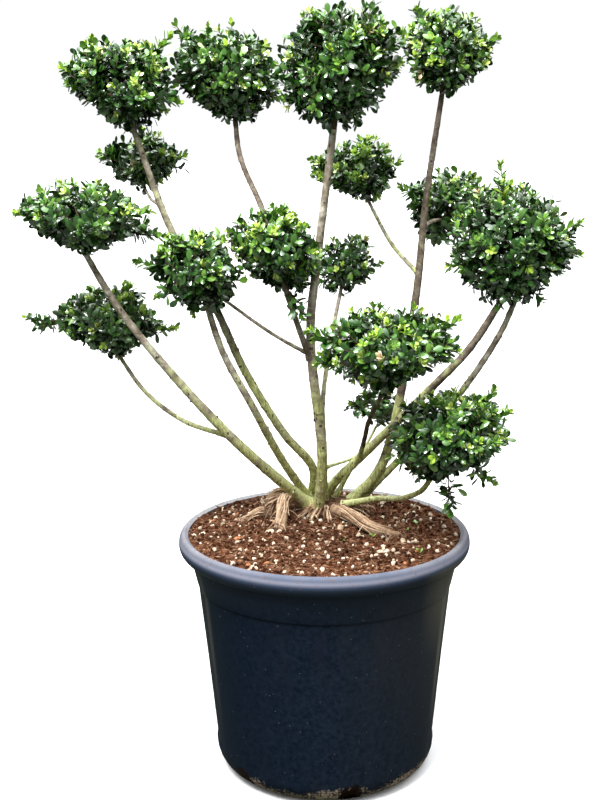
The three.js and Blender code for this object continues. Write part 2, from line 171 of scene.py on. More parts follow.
def node(tree, kind, inputs=None, **settings):
    """Adds a shader node. An input is a constant, or an output that is linked to it."""
    made = tree.nodes.new("ShaderNode" + kind)
    for name, value in settings.items():
        setattr(made, name, value)
    for name, value in (inputs or {}).items():
        if isinstance(value, bpy.types.NodeSocket):
            tree.links.new(value, made.inputs[name])
        else:
            made.inputs[name].default_value = value
    return made


def ramp(tree, value, *stops):
    """A colour that runs through stops of (position, colour)."""
    made = node(tree, "ValToRGB", {"Fac": value})
    elements = made.color_ramp.elements
    while len(elements) < len(stops):
        elements.new(1)
    for element, (position, colour) in zip(elements, stops):
        element.position = position
        element.color = (*colour, 1)
    return made.outputs["Color"]


def blend(tree, share, below, above):
    """One colour laid over another by a share."""
    below, above = [(*colour, 1) if isinstance(colour, tuple) else colour for colour in (below, above)]
    return node(tree, "MixRGB", {"Fac": share, "Color1": below, "Color2": above}).outputs["Color"]


def limits(tree, value, low, high, at_low=0.0, at_high=1.0):
    """A value spread from one range to another and held at its ends."""
    spread = {"Value": value, "From Min": low, "From Max": high, "To Min": at_low, "To Max": at_high}
    return node(tree, "MapRange", spread).outputs["Result"]


def maths(tree, operation, *values):
    return node(tree, "Math", dict(enumerate(values)), operation=operation).outputs[0]


def product(tree, first, second):
    return maths(tree, "MULTIPLY", first, second)


def noise(tree, where, scale, detail=3.0, roughness=0.55):
    made = {"Vector": where, "Scale": scale, "Detail": detail, "Roughness": roughness}
    return node(tree, "TexNoise", made).outputs["Fac"]


def stretched(tree, where, scale):
    return node(tree, "Mapping", {"Vector": where, "Scale": scale}).outputs["Vector"]


def new_material(name, **finish):
    """A material with its constant finish on the shader's own sockets."""
    material = bpy.data.materials.new(name)
    material.use_nodes = True
    shader = material.node_tree.nodes["Principled BSDF"]
    for socket, value in finish.items():
        shader.inputs[socket.replace("_", " ")].default_value = value
    return material, material.node_tree, shader


def bumped(tree, shader, height, strength, distance):
    raised = node(tree, "Bump", {"Height": height, "Strength": strength, "Distance": distance})
    tree.links.new(raised.outputs["Normal"], shader.inputs["Normal"])


def speck_group():
    """Scattered specks: the share of cells that hold one, and its size in a cell."""
    group = bpy.data.node_groups.new("specks", "ShaderNodeTree")
    group.interface.new_socket("Vector", in_out="INPUT", socket_type="NodeSocketVector")
    for name in ("Scale", "Share", "Size"):
        group.interface.new_socket(name, in_out="INPUT", socket_type="NodeSocketFloat")
    group.interface.new_socket("Mask", in_out="OUTPUT", socket_type="NodeSocketFloat")
    given = group.nodes.new("NodeGroupInput").outputs
    cells = node(group, "TexVoronoi", {"Vector": given["Vector"], "Scale": given["Scale"]})
    chance = node(group, "SeparateColor", {"Color": cells.outputs["Color"]}).outputs["Red"]
    held = maths(group, "LESS_THAN", chance, given["Share"])
    small = maths(group, "LESS_THAN", cells.outputs["Distance"], given["Size"])
    shown = group.nodes.new("NodeGroupOutput")
    group.links.new(product(group, held, small), shown.inputs["Mask"])
    return group


SPECKS = speck_group()


def place_on_piece(tree):
    """A place on a piece, its X, its Y and its level."""
    where = node(tree, "TexCoord").outputs["Object"]
    return where, *node(tree, "SeparateXYZ", {"Vector": where}).outputs


def facing_up(tree):
    """1 where a surface faces up and -1 where it faces down."""
    normal = node(tree, "NewGeometry").outputs["Normal"]
    return node(tree, "SeparateXYZ", {"Vector": normal}).outputs["Z"]


def specks(tree, where, scale, share, size):
    made = node(tree, "Group", node_tree=SPECKS)
    tree.links.new(where, made.inputs["Vector"])
    for name, value in (("Scale", scale), ("Share", share), ("Size", size)):
        made.inputs[name].default_value = value
    return made.outputs["Mask"]


def pot_plastic():
    finish = {"Specular_IOR_Level": 0.03, "Specular_Tint": (0.72, 0.86, 1, 1)}
    material, tree, shader = new_material("pot_plastic", **finish)
    where, x, y, level = place_on_piece(tree)
    cloudy = noise(tree, where, 110, 6, 0.72)
    colour = ramp(tree, cloudy, (0.36, (0.0045, 0.0095, 0.0190)), (0.64, (0.0155, 0.0235, 0.0420)))
    streaks = limits(tree, noise(tree, stretched(tree, where, (30, 30, 1.4)), 1, 4), 0.5, 0.75, 0, 0.5)
    colour = blend(tree, streaks, colour, (0.021, 0.023, 0.037))
    # Painted shade: the left-hand side of the wall is painted darker
    colour = blend(tree, limits(tree, x, -0.2, 0, 0.75, 0), colour, (0.0028, 0.0068, 0.0148))

    # Painted light: the right-hand side is painted paler and greyer where more light falls on it, and the
    # neck is a paler blue
    painted_right_light = product(tree, limits(tree, x, 0, 0.2, 0, 0.8), limits(tree, level, 0.08, 0.3, 0.4, 1))
    colour = blend(tree, painted_right_light, colour, (0.036, 0.038, 0.044))
    on_neck = limits(tree, level, shoulder_level, neck_level, 0, 0.7)
    colour = blend(tree, on_neck, colour, (0.024, 0.032, 0.05))
    # Painted light: a paler, browner band near the right-hand edge of the upper wall
    painted_right_edge_light = product(tree, limits(tree, x, 0.16, 0.2, 0, 0.9), limits(tree, level, 0.24, 0.34))
    colour = blend(tree, painted_right_edge_light, colour, (0.105, 0.096, 0.08))
    colour = blend(tree, specks(tree, where, 330, 0.014, 0.22), colour, (0.2, 0.19, 0.165))

    # Painted highlight: the panels' upright edges are painted pale, most on the upper wall and on the
    # right-hand side
    across, back = maths(tree, "ABSOLUTE", x), maths(tree, "ABSOLUTE", y)
    turn = maths(tree, "ARCTAN2", back, across)
    edge = math.radians(PANEL_HALF_TURN + 2)
    aside = maths(tree, "ABSOLUTE", maths(tree, "SUBTRACT", turn, edge))
    beside_edge = limits(tree, aside, 0.02, 0.065, 1, 0)
    on_panel = limits(tree, level, PANEL_HIGH - 0.012, PANEL_HIGH, 1, 0)
    on_panel = product(tree, on_panel, limits(tree, level, 0.1, 0.25, 0.1, 1))
    highlight_by_side = limits(tree, x, -0.1, 0.1, 0.3, 0.95)
    painted_edge_highlight = product(tree, product(tree, beside_edge, on_panel), highlight_by_side)
    colour = blend(tree, painted_edge_highlight, colour, (0.135, 0.127, 0.104))

    # Painted reflection: the rolled rim is painted lighter blue where it faces sideways and up, with a
    # blue-grey highlight on top, partly dusty bleaching, that is paler at the sides and near white at the
    # back, and a pale streak along its roll
    upward = facing_up(tree)
    on_rim = limits(tree, level, rim_level - 0.012, rim_level + 0.002)
    # Painted light: lighter blue where the rim faces sideways and up
    painted_rim_light = product(tree, limits(tree, upward, -0.15, 0.1), on_rim)
    colour = blend(tree, painted_rim_light, colour, (0.047, 0.066, 0.115))
    # Painted highlight, partly dusty bleaching: blue-grey on top, paler at the sides, near white at the back
    rim_highlight_and_bleaching = product(tree, limits(tree, upward, 0.05, 0.8), on_rim)
    rim_highlight_and_bleaching = product(tree, rim_highlight_and_bleaching, limits(tree, noise(tree, where, 26, 4), 0.3, 0.6, 0.75, 1))
    rim_highlight_colour = blend(tree, limits(tree, across, 0.08, 0.24), (0.145, 0.162, 0.212), (0.26, 0.258, 0.285))
    rim_highlight_colour = blend(tree, limits(tree, y, -0.02, 0.12), rim_highlight_colour, (0.45, 0.447, 0.455))
    colour = blend(tree, rim_highlight_and_bleaching, colour, rim_highlight_colour)
    # Painted highlight: a pale streak along the roll
    painted_roll_streak = product(tree, limits(tree, upward, 0.08, 0.26), limits(tree, upward, 0.3, 0.5, 1, 0))
    colour = blend(tree, product(tree, painted_roll_streak, on_rim), colour, (0.215, 0.22, 0.28))
    dust = limits(tree, product(tree, on_rim, noise(tree, where, 150, 6, 0.75)), 0.55, 0.68, 0, 0.7)
    colour = blend(tree, dust, colour, (0.16, 0.09, 0.06))

    # Splashed earth has dried on the heel
    heel = limits(tree, level, 0.012, 0.056, 1, 0)
    splashed = product(tree, heel, limits(tree, noise(tree, where, 9, 2), 0.42, 0.58, 0.65, 1.1))
    dirt = limits(tree, product(tree, splashed, noise(tree, where, 75, 6, 0.72)), 0.26, 0.34)
    crust = ramp(tree, noise(tree, where, 240, 3), (0.38, (0.03, 0.018, 0.012)), (0.62, (0.5, 0.385, 0.3)))
    colour = blend(tree, dirt, colour, crust)
    grains = product(tree, specks(tree, where, 190, 0.4, 0.42), limits(tree, splashed, 0.4, 0.8))
    colour = blend(tree, grains, colour, (0.5, 0.39, 0.28))

    # Dark earth has washed out of the drain holes
    past_first = maths(tree, "SUBTRACT", maths(tree, "ARCTAN2", y, x), math.radians(DRAIN_FIRST_TURN))
    aside = maths(tree, "PINGPONG", past_first, math.pi / DRAIN_COUNT)
    washed = product(tree, limits(tree, aside, 0.04, 0.17, 1, 0), limits(tree, level, 0.016, 0.06, 1, 0))
    ragged = limits(tree, product(tree, washed, noise(tree, where, 80, 5, 0.75)), 0.2, 0.26)
    colour = blend(tree, ragged, colour, (0.012, 0.0055, 0.003))
    tree.links.new(colour, shader.inputs["Base Color"])
    worn = limits(tree, cloudy, 0.3, 0.7, 0.36, 0.5)
    tree.links.new(maths(tree, "ADD", worn, product(tree, dirt, 0.5)), shader.inputs["Roughness"])
    bumped(tree, shader, noise(tree, where, 480, 2), 0.12, 0.0006)
    return material


pot.data.materials.append(pot_plastic())
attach(pot, "root")
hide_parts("pot")

# Soil: a moist potting mix of reddish peat and bark, filled to just under the crest of the rim and
# left a little lower against the wall. It is loose, so its top is uneven all over.
SOIL_LEVEL = 0.440
SOIL_EDGE_LEVEL = 0.437
SOIL_BASE_LEVEL = 0.404
SOIL_CLEARANCE = 0.001
SOIL_BASE_RADIUS = neck_radius - POT_WALL - SOIL_CLEARANCE
SOIL_EDGE_RADIUS = RIM_RADIUS - RIM_WIDTH - SOIL_CLEARANCE
SOIL_LEVEL_RADIUS = 0.19
SOIL_RING_STEP = 0.0032
SOIL_SEGMENTS = 220

soil_profile = [(SOIL_BASE_RADIUS, SOIL_BASE_LEVEL), (SOIL_EDGE_RADIUS, SOIL_EDGE_LEVEL)]
for radius in np.arange(SOIL_EDGE_RADIUS - SOIL_RING_STEP, SOIL_RING_STEP, -SOIL_RING_STEP):
    level = np.interp(radius, (SOIL_LEVEL_RADIUS, SOIL_EDGE_RADIUS), (SOIL_LEVEL, SOIL_EDGE_LEVEL))
    soil_profile.append((float(radius), float(level)))
soil = turn_up("soil_bed", soil_profile, SOIL_SEGMENTS)


def roughen(piece, grain, height):
    """Raises and lowers a piece's surface by clouds of a grain size."""
    clouds = bpy.data.textures.new(f"{piece.name}_grain", "CLOUDS")
    clouds.noise_scale = grain
    relief = piece.modifiers.new("relief", "DISPLACE")
    relief.texture = clouds
    relief.strength = height
    bpy.context.view_layer.objects.active = piece
    bpy.ops.object.modifier_apply(modifier="relief")


roughen(soil, 0.04, 0.009)
roughen(soil, 0.012, 0.006)
roughen(soil, 0.005, 0.004)
soil.data.shade_smooth()


def peat():
    material, tree, shader = new_material("peat", Roughness=0.95, Specular_IOR_Level=0.05)
    where = node(tree, "TexCoord").outputs["Object"]
    lumps = noise(tree, where, 120, 8, 0.78)
    dark, red, pale = (0.008, 0.0035, 0.002), (0.12, 0.044, 0.02), (0.44, 0.24, 0.14)
    colour = ramp(tree, lumps, (0.39, dark), (0.51, red), (0.66, pale))
    damp = limits(tree, noise(tree, where, 11, 2), 0.4, 0.65, 0, 0.5)
    colour = blend(tree, damp, colour, (0.03, 0.013, 0.008))
    colour = blend(tree, specks(tree, where, 210, 0.06, 0.3), colour, (0.5, 0.36, 0.24))
    tree.links.new(colour, shader.inputs["Base Color"])
    bumped(tree, shader, noise(tree, where, 420, 5, 0.7), 0.9, 0.003)
    return material


PEAT = peat()
soil.data.materials.append(PEAT)
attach(soil, "root")
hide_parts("soil")

# Grit: what lies loose on the soil. Crumbs of peat, chips and shreds of composted bark, puffed grains
# of pale perlite, bits of wood and shreds of fibre were all mixed into it, and rain has washed them.
GRIT_RADIUS = 0.239
GRIT_SHOWING = 0.27


def unit(vectors):
    return vectors / np.linalg.norm(vectors, axis=-1, keepdims=True)


def turned_to(along, facing):
    """Turns that lay a model's Y along a direction and its Z as near as may be to a facing."""
    across = unit(np.cross(along, facing))
    return np.stack([across, along, np.cross(across, along)], axis=-1)


def copies(model, places, turns, sizes):
    """Copies of a small model, each sized, turned and placed, as corners and triangles."""
    corners, triangles = model
    laid = np.einsum("nij,nvj->nvi", turns, corners[None] * sizes[:, None]) + places[:, None]
    first = np.arange(len(places))[:, None, None] * len(corners)
    return laid.reshape(-1, 3), (triangles[None] + first).reshape(-1, 3)


def joined(name, parts, *materials, smooth=True):
    """One mesh of several lots of corners and triangles."""
    firsts = np.cumsum([0] + [len(corners) for corners, _ in parts[:-1]])
    corners = np.concatenate([corners for corners, _ in parts])
    triangles = np.concatenate([triangles + first for (_, triangles), first in zip(parts, firsts)])
    mesh = bpy.data.meshes.new(name)
    mesh.from_pydata(corners.tolist(), [], triangles.tolist())
    for material in materials:
        mesh.materials.append(material)
    if smooth:
        mesh.shade_smooth()
    piece = bpy.data.objects.new(name, mesh)
    bpy.context.collection.objects.link(piece)
    return piece


def lump_model(seed, subdivisions=1, uneven=0.3):
    """An irregular lump of unit size, from a sphere whose corners are pushed in and out."""
    bpy.ops.object.select_all(action="DESELECT")
    bpy.ops.mesh.primitive_ico_sphere_add(subdivisions=subdivisions, radius=1)
    ball = bpy.context.object
    corners = np.array([corner.co for corner in ball.data.vertices])
    triangles = np.array([face.vertices for face in ball.data.polygons])
    bpy.data.objects.remove(ball)
    pushed = 1 + uneven * (np.random.default_rng(seed).random(len(corners)) - 0.5) * 2
    return corners * pushed[:, None], triangles


def on_soil(flat):
    """The places on top of the soil over given X and Y."""
    return np.array([soil.ray_cast((x, y, 1), (0, 0, -1))[1] for x, y in flat])


def scattered(rng, count):
    """X and Y of places spread evenly over the top of the soil."""
    radii = np.sqrt(rng.random(count)) * GRIT_RADIUS
    turns = rng.uniform(0, 2 * math.pi, count)
    return np.column_stack([radii * np.cos(turns), radii * np.sin(turns)])


def strewn(name, seed, count, model, sizes, shape, flatness, material, *spots):
    """Copies of a lump strewn over the soil and laid at given spots, turned at random, partly sunk."""
    rng = np.random.default_rng(seed)
    places = on_soil(np.vstack([np.array(spots).reshape(-1, 2), scattered(rng, count)]))
    count = len(places)
    along = unit(rng.normal(size=(count, 3)) * (1, 1, flatness))
    facing = unit(rng.normal(size=(count, 3)) * (flatness, flatness, 1) + (0, 0, 1e-3))
    size = rng.uniform(*sizes, (count, 1)) * np.array(shape) * rng.uniform(0.75, 1.25, (count, 3))
    places[:, 2] += GRIT_SHOWING * size[:, 2]
    piece = joined(name, [copies(model, places, turned_to(along, facing), size / 2)], material, smooth=False)
    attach(piece, "root")


def grit_material(name, roughness, grain, *stops):
    """A mottled dry material that runs through a few colours."""
    material, tree, shader = new_material(name, Roughness=roughness, Specular_IOR_Level=0.15)
    where = node(tree, "TexCoord").outputs["Object"]
    mottled = noise(tree, where, grain, 4, 0.65)
    tree.links.new(ramp(tree, mottled, *stops), shader.inputs["Base Color"])
    bumped(tree, shader, noise(tree, where, 4 * grain, 3), 0.5, 0.0012)
    return material


bpy.context.view_layer.update()
BARK_CHIP = grit_material("bark_chip", 0.85, 130, (0.35, (0.03, 0.012, 0.007)), (0.65, (0.17, 0.07, 0.036)))
SHRED = grit_material("shred", 0.9, 110, (0.35, (0.19, 0.09, 0.05)), (0.65, (0.5, 0.31, 0.19)))
PERLITE = grit_material("perlite", 0.9, 160, (0.35, (0.48, 0.36, 0.24)), (0.6, (0.86, 0.76, 0.6)))
WOOD_BIT = grit_material("wood_bit", 0.9, 120, (0.35, (0.42, 0.29, 0.18)), (0.65, (0.72, 0.6, 0.45)))
RUST_CHIP = grit_material("rust_chip", 0.8, 110, (0.35, (0.3, 0.09, 0.035)), (0.65, (0.58, 0.27, 0.12)))
strewn("peat_crumbs", 11, 1500, lump_model(1), (0.003, 0.010), (1, 1, 0.8), 0.6, PEAT)
strewn("bark_chips", 12, 420, lump_model(2, uneven=0.4), (0.006, 0.017), (0.5, 1, 0.25), 0.25, BARK_CHIP)
strewn("bark_shreds", 16, 260, lump_model(6, uneven=0.4), (0.006, 0.015), (0.3, 1, 0.2), 0.25, SHRED)
strewn("perlite_grains", 13, 330, lump_model(3), (0.0036, 0.0096), (1, 1, 0.8), 1, PERLITE)
strewn(
    "wood_bits", 17, 22, lump_model(7), (0.009, 0.019), (0.7, 1, 0.4), 0.3, WOOD_BIT,
    (-0.103, -0.064), (0.093, -0.131), (-0.014, -0.118), (-0.153, -0.078))
strewn(
    "rust_chips", 14, 14, lump_model(4, uneven=0.35), (0.009, 0.016), (0.6, 1, 0.35), 0.3, RUST_CHIP,
    (0.081, -0.095), (0.132, -0.182))


def tubes(places, radii, sides):
    """Closed tapering tubes along many routes of equal length, as corners and triangles."""
    count, rings = places.shape[:2]
    way = unit(places[:, -1] - places[:, 0])
    side = unit(np.cross(way, (0.3, 0.2, 1)))
    other = np.cross(way, side)
    turns = np.arange(sides) * 2 * math.pi / sides
    around = np.cos(turns)[:, None] * side[:, None] + np.sin(turns)[:, None] * other[:, None]
    corners = places[:, :, None] + radii[:, :, None, None] * around[:, None]
    ring, step = np.divmod(np.arange((rings - 1) * sides), sides)
    here = ring * sides + step
    beside = ring * sides + (step + 1) % sides
    lower = np.column_stack([here, beside, beside + sides])
    upper = np.column_stack([here, beside + sides, here + sides])
    fan = np.column_stack([np.zeros(sides - 2, int), np.arange(1, sides - 1), np.arange(2, sides)])
    one = np.vstack([lower, upper, fan[:, ::-1], fan + (rings - 1) * sides])
    first = np.arange(count)[:, None, None] * rings * sides
    return corners.reshape(-1, 3), (one[None] + first).reshape(-1, 3)


def bent(feet, bends, ends, rings):
    """Places along many arched routes from foot to end."""
    t = np.linspace(0, 1, rings)[None, :, None]
    return (1 - t) ** 2 * feet[:, None] + 2 * t * (1 - t) * bends[:, None] + t**2 * ends[:, None]


FIBRE_COUNT = 420
FIBRE_RINGS = 5
FIBRE = grit_material("fibre", 0.9, 60, (0.35, (0.16, 0.075, 0.04)), (0.65, (0.46, 0.29, 0.18)))
rng = np.random.default_rng(15)
feet = on_soil(scattered(rng, FIBRE_COUNT)) + (0, 0, 0.001)
ways = unit(rng.normal(size=feet.shape) * (1, 1, 0.08)) * rng.uniform(0.008, 0.034, (FIBRE_COUNT, 1))
bends = feet + 0.5 * ways + rng.normal(size=feet.shape) * (0.003, 0.003, 0.001) + (0, 0, 0.002)
radii = np.linspace(0.0007, 0.0003, FIBRE_RINGS) * rng.uniform(0.7, 1.5, (FIBRE_COUNT, 1))
fibres = joined("fibres", [tubes(bent(feet, bends, feet + ways, FIBRE_RINGS), radii, 3)], FIBRE)
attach(fibres, "root")

# Trunk, root crown and roots: living wood in one piece. The trunk rises from a low crown matted with
# root hair, and the old surface roots beside it are dry and split into long pale fibres.
MM = 0.001


def limb(foot, tip, *route):
    """A limb's radius at foot and tip and places along it, in millimetres."""
    return {"foot": foot * MM, "tip": tip * MM, "route": np.array(route) * MM}


TRUNK = limb(10, 6, (-11, 85, 430), (-2, 48, 561), (-22, 25, 792), (-8, 15, 933), (19, 0, 1145))
ROOTS = [
    limb(12, 9.5, (21, 67, 456), (61, 9, 455), (87, -39, 452), (131, -50, 440)),
    limb(13, 10, (-31, 95, 458), (-69, 80, 482), (-95, 72, 476), (-102, 73, 436)),
    limb(12, 9, (-61, 82, 480), (-73, 50, 476), (-76, 13, 452), (-77, -7, 436)),
    limb(9, 5, (-98, 79, 450), (-116, 69, 452), (-155, 36, 440)),
    limb(13, 6, (46, 121, 450), (87, 157, 447), (82, 192, 438)),
]
CROWN_CENTRE = (0.017, 0.101, 0.443)
CROWN_HALF = (0.067, 0.047, 0.023)
FLARES = [
    limb(4.5, 2, (-12, 82, 464), (-30, 70, 452), (-52, 46, 440)),
    limb(3.5, 1.6, (-8, 78, 462), (-18, 54, 450), (-25, 20, 440)),
    limb(3.2, 1.6, (4, 76, 460), (10, 50, 449), (16, 22, 440)),
]
ROOT_CORE = 0.93
ROOT_STEPS = 40
ROOT_RINGS = 12
ROOT_SIDES = 5
ROOT_TWIST = 1.3
FIBRE_SPACING = 0.0015
FRAY = (0.003, 0.003, 0.0015)
CURVE_STEPS = 40
LENGTH_TESTS = 60
LIMB_STEP = 0.0035
COLLAR_LENGTH = 0.014
COLLAR_SWELL = 0.5
NODE_SPACING = 0.055
NODE_WIDTH = 0.004
NODE_SWELL = 0.07
KNOT_STEPS = 14
KNOT_SIZES = (0.16, 0.36)
KNOT_SHAPE = (1.2, 1, 0.7)
GREEN_FOOT = 0.06


def smooth_route(route, count):
    """Evenly spaced places on the centripetal curve through a route."""
    ends = np.vstack([2 * route[0] - route[1], route, 2 * route[-1] - route[-2]])
    t = np.linspace(0, 1, CURVE_STEPS, endpoint=False)[:, None]
    fine = []
    for before, start, end, after in zip(ends, ends[1:], ends[2:], ends[3:]):
        steps = (start - before, end - start, after - end)
        lead, span, trail = [np.linalg.norm(step) ** 0.5 for step in steps]
        leave = (start - before) / lead - (end - before) / (lead + span) + (end - start) / span
        arrive = (end - start) / span - (after - start) / (span + trail) + (after - end) / trail
        place = start * (2 * t**3 - 3 * t**2 + 1) + end * (3 * t**2 - 2 * t**3)
        fine.append(place + span * (leave * (t**3 - 2 * t**2 + t) + arrive * (t**3 - t**2)))
    fine = np.vstack([*fine, route[-1:]])
    travelled = np.concatenate([[0], np.cumsum(np.linalg.norm(np.diff(fine, axis=0), axis=1))])
    wanted = np.linspace(0, travelled[-1], count)
    return np.column_stack([np.interp(wanted, travelled, fine[:, axis]) for axis in range(3)])


def route_length(places):
    return float(np.linalg.norm(np.diff(places, axis=0), axis=1).sum())


def strands_to_mesh(name, strands, roundness):
    """One mesh of round strands, each given by its places and its radius at each."""
    bpy.ops.object.select_all(action="DESELECT")
    bpy.ops.curve.primitive_nurbs_path_add()
    drawn = bpy.context.object.data
    drawn.splines.clear()
    drawn.bevel_depth = 1
    drawn.bevel_resolution = roundness
    drawn.use_fill_caps = True
    for places, radii in strands:
        spline = drawn.splines.new("POLY")
        spline.points.add(len(places) - 1)
        for point, place, radius in zip(spline.points, places, radii):
            point.co = (*place, 1)
            point.radius = radius
    bpy.ops.object.convert(target="MESH")
    bpy.context.object.name = name
    return bpy.context.object


def limb_strand(shape, rng):
    """A limb's places and radii: its taper, its collar at the foot and its swollen nodes."""
    length = route_length(smooth_route(shape["route"], LENGTH_TESTS))
    places = smooth_route(shape["route"], int(length / LIMB_STEP))
    along = np.linspace(0, length, len(places))
    radii = np.interp(along, (0, length), (shape["foot"], shape["tip"]))
    radii *= 1 + COLLAR_SWELL * np.exp(-along / COLLAR_LENGTH)
    nodes = np.arange(NODE_SPACING / 2, length, NODE_SPACING)
    nodes += rng.uniform(-0.3, 0.3, len(nodes)) * NODE_SPACING
    for centre in nodes:
        radii *= 1 + NODE_SWELL * np.exp(-(((along - centre) / NODE_WIDTH) ** 2))
    return places, radii


def root_fibres(shape, rng):
    """The fibres that an old root has split into, wound slowly round its line and frayed at the end."""
    line = smooth_route(shape["route"], ROOT_STEPS)
    way = unit(np.gradient(line, axis=0))
    side = unit(np.cross(way, (0.1, 0.2, 1)))
    grid = np.linspace(0, 1, len(line))
    count = int(2 * math.pi * shape["foot"] / FIBRE_SPACING)
    start, end = rng.uniform(0, 0.4, (count, 1)), rng.uniform(0.6, 1, (count, 1))
    share = start + (end - start) * np.linspace(0, 1, ROOT_RINGS)

    def along(values):
        return np.stack([np.interp(share, grid, values[:, axis]) for axis in range(3)], axis=-1)

    turn = rng.uniform(0, 2 * math.pi, (count, 1)) + ROOT_TWIST * share
    turn += 0.2 * np.sin(9 * share + rng.uniform(0, 6, (count, 1)))
    reach = (shape["foot"] + (shape["tip"] - shape["foot"]) * share) * rng.uniform(0.88, 1.03, (count, 1))
    offset = np.cos(turn)[..., None] * along(side) + np.sin(turn)[..., None] * along(np.cross(way, side))
    frayed = np.linspace(0, 1, ROOT_RINGS)[:, None] ** 4 * rng.normal(size=(count, 1, 3)) * FRAY
    radii = rng.uniform(0.0007, 0.0017, (count, 1)) * np.linspace(1, 0.6, ROOT_RINGS)
    return tubes(along(line) + reach[..., None] * offset + frayed, radii, ROOT_SIDES)


def root_colour(name, dark, pale):
    """Dry root, streaked and soiled where it goes into the ground."""
    material, tree, shader = new_material(name, Roughness=0.92, Specular_IOR_Level=0.2)
    where, _, _, level = place_on_piece(tree)
    streaked = noise(tree, where, 120, 5, 0.65)
    colour = ramp(tree, streaked, (0.35, dark), (0.65, pale))
    buried = limits(tree, level, SOIL_LEVEL, SOIL_LEVEL + 0.012, 1, 0)
    soiled = limits(tree, product(tree, buried, noise(tree, where, 90, 4)), 0.15, 0.5, 0, 0.85)
    tree.links.new(blend(tree, soiled, colour, (0.06, 0.026, 0.015)), shader.inputs["Base Color"])
    bumped(tree, shader, noise(tree, where, 500, 3), 0.6, 0.001)
    return material


ROOT_HEART = root_colour("root_heart", (0.2, 0.12, 0.07), (0.5, 0.34, 0.22))
CROWN_WOOD = root_colour("crown_wood", (0.03, 0.014, 0.008), (0.17, 0.088, 0.05))
ROOT_TINTS = [
    root_colour("root_pale", (0.52, 0.355, 0.22), (0.82, 0.63, 0.45)),
    root_colour("root_tan", (0.37, 0.235, 0.14), (0.65, 0.46, 0.3)),
    root_colour("root_brown", (0.13, 0.07, 0.04), (0.36, 0.225, 0.135)),
]


def tinted(name, lots, sides_each, rng, chances):
    """Fibres joined in one piece, each dealt one of the root's tints."""
    piece = joined(name, lots, *ROOT_TINTS)
    dealt = rng.choice(len(ROOT_TINTS), len(piece.data.polygons) // sides_each, p=chances)
    piece.data.polygons.foreach_set("material_index", np.repeat(dealt, sides_each).astype(np.int32))
    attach(piece, "root")


def bark(name, dark, middle, pale, green_below):
    """Smooth young bark in three browns, under a film of green algae that thins out up to a level. The algae
    carry a painted highlight where they face up.
    """
    material, tree, shader = new_material(name, Roughness=0.82, Specular_IOR_Level=0.3)
    where, _, _, level = place_on_piece(tree)
    upward = facing_up(tree)
    grain = noise(tree, stretched(tree, where, (330, 330, 40)), 1, 4, 0.6)
    patchy = noise(tree, where, 42, 5, 0.65)
    colour = ramp(tree, patchy, (0.32, dark), (0.5, middle), (0.68, pale))
    colour = blend(tree, limits(tree, grain, 0.45, 0.7, 0, 0.45), colour, dark)

    broad = limits(tree, noise(tree, stretched(tree, where, (26, 26, 12)), 1, 3), 0.35, 0.65, -0.45, 0.4)
    ragged = limits(tree, patchy, 0.3, 0.7, -0.45, 0.4)
    film = limits(tree, level, SOIL_LEVEL + GREEN_FOOT, green_below, 1, -0.2)
    film = maths(tree, "ADD", maths(tree, "ADD", film, broad), ragged)
    algae_and_top_light = ramp(tree, grain, (0.38, (0.215, 0.215, 0.062)), (0.6, (0.625, 0.665, 0.255)))
    # Painted highlight: the algae are paler where the limb faces up
    algae_and_top_light = blend(tree, limits(tree, upward, -0.2, 0.9, 0, 0.6), algae_and_top_light, (0.77, 0.84, 0.42))
    colour = blend(tree, limits(tree, film, 0.1, 0.8, 0, 0.92), colour, algae_and_top_light)
    mottled = limits(tree, noise(tree, where, 150, 4, 0.7), 0.5, 0.66, 0, 0.5)
    colour = blend(tree, mottled, colour, dark)

    rings = limits(tree, noise(tree, stretched(tree, where, (14, 14, 190)), 1, 2), 0.62, 0.72, 0, 0.6)
    colour = blend(tree, rings, colour, (0.075, 0.052, 0.032))
    pores = specks(tree, stretched(tree, where, (1, 1, 0.55)), 165, 0.16, 0.3)
    colour = blend(tree, product(tree, pores, 0.85), colour, (0.05, 0.034, 0.02))
    colour = blend(tree, product(tree, specks(tree, where, 300, 0.04, 0.25), 0.6), colour, (0.5, 0.47, 0.4))
    tree.links.new(colour, shader.inputs["Base Color"])
    bumped(tree, shader, grain, 0.6, 0.001)
    return material


BARK = bark("bark", (0.11, 0.084, 0.058), (0.39, 0.33, 0.25), (0.76, 0.71, 0.63), 0.9)
GREY_BARK = bark("grey_bark", (0.06, 0.044, 0.031), (0.17, 0.132, 0.096), (0.36, 0.31, 0.25), 0.85)
MOSSY_BARK = bark("mossy_bark", (0.085, 0.068, 0.045), (0.3, 0.26, 0.19), (0.6, 0.56, 0.47), 1.3)
BROWN_BARK = bark("brown_bark", (0.035, 0.024, 0.018), (0.07, 0.048, 0.035), (0.13, 0.095, 0.07), 0.6)
KNOT = lump_model(5, subdivisions=2, uneven=0.1)


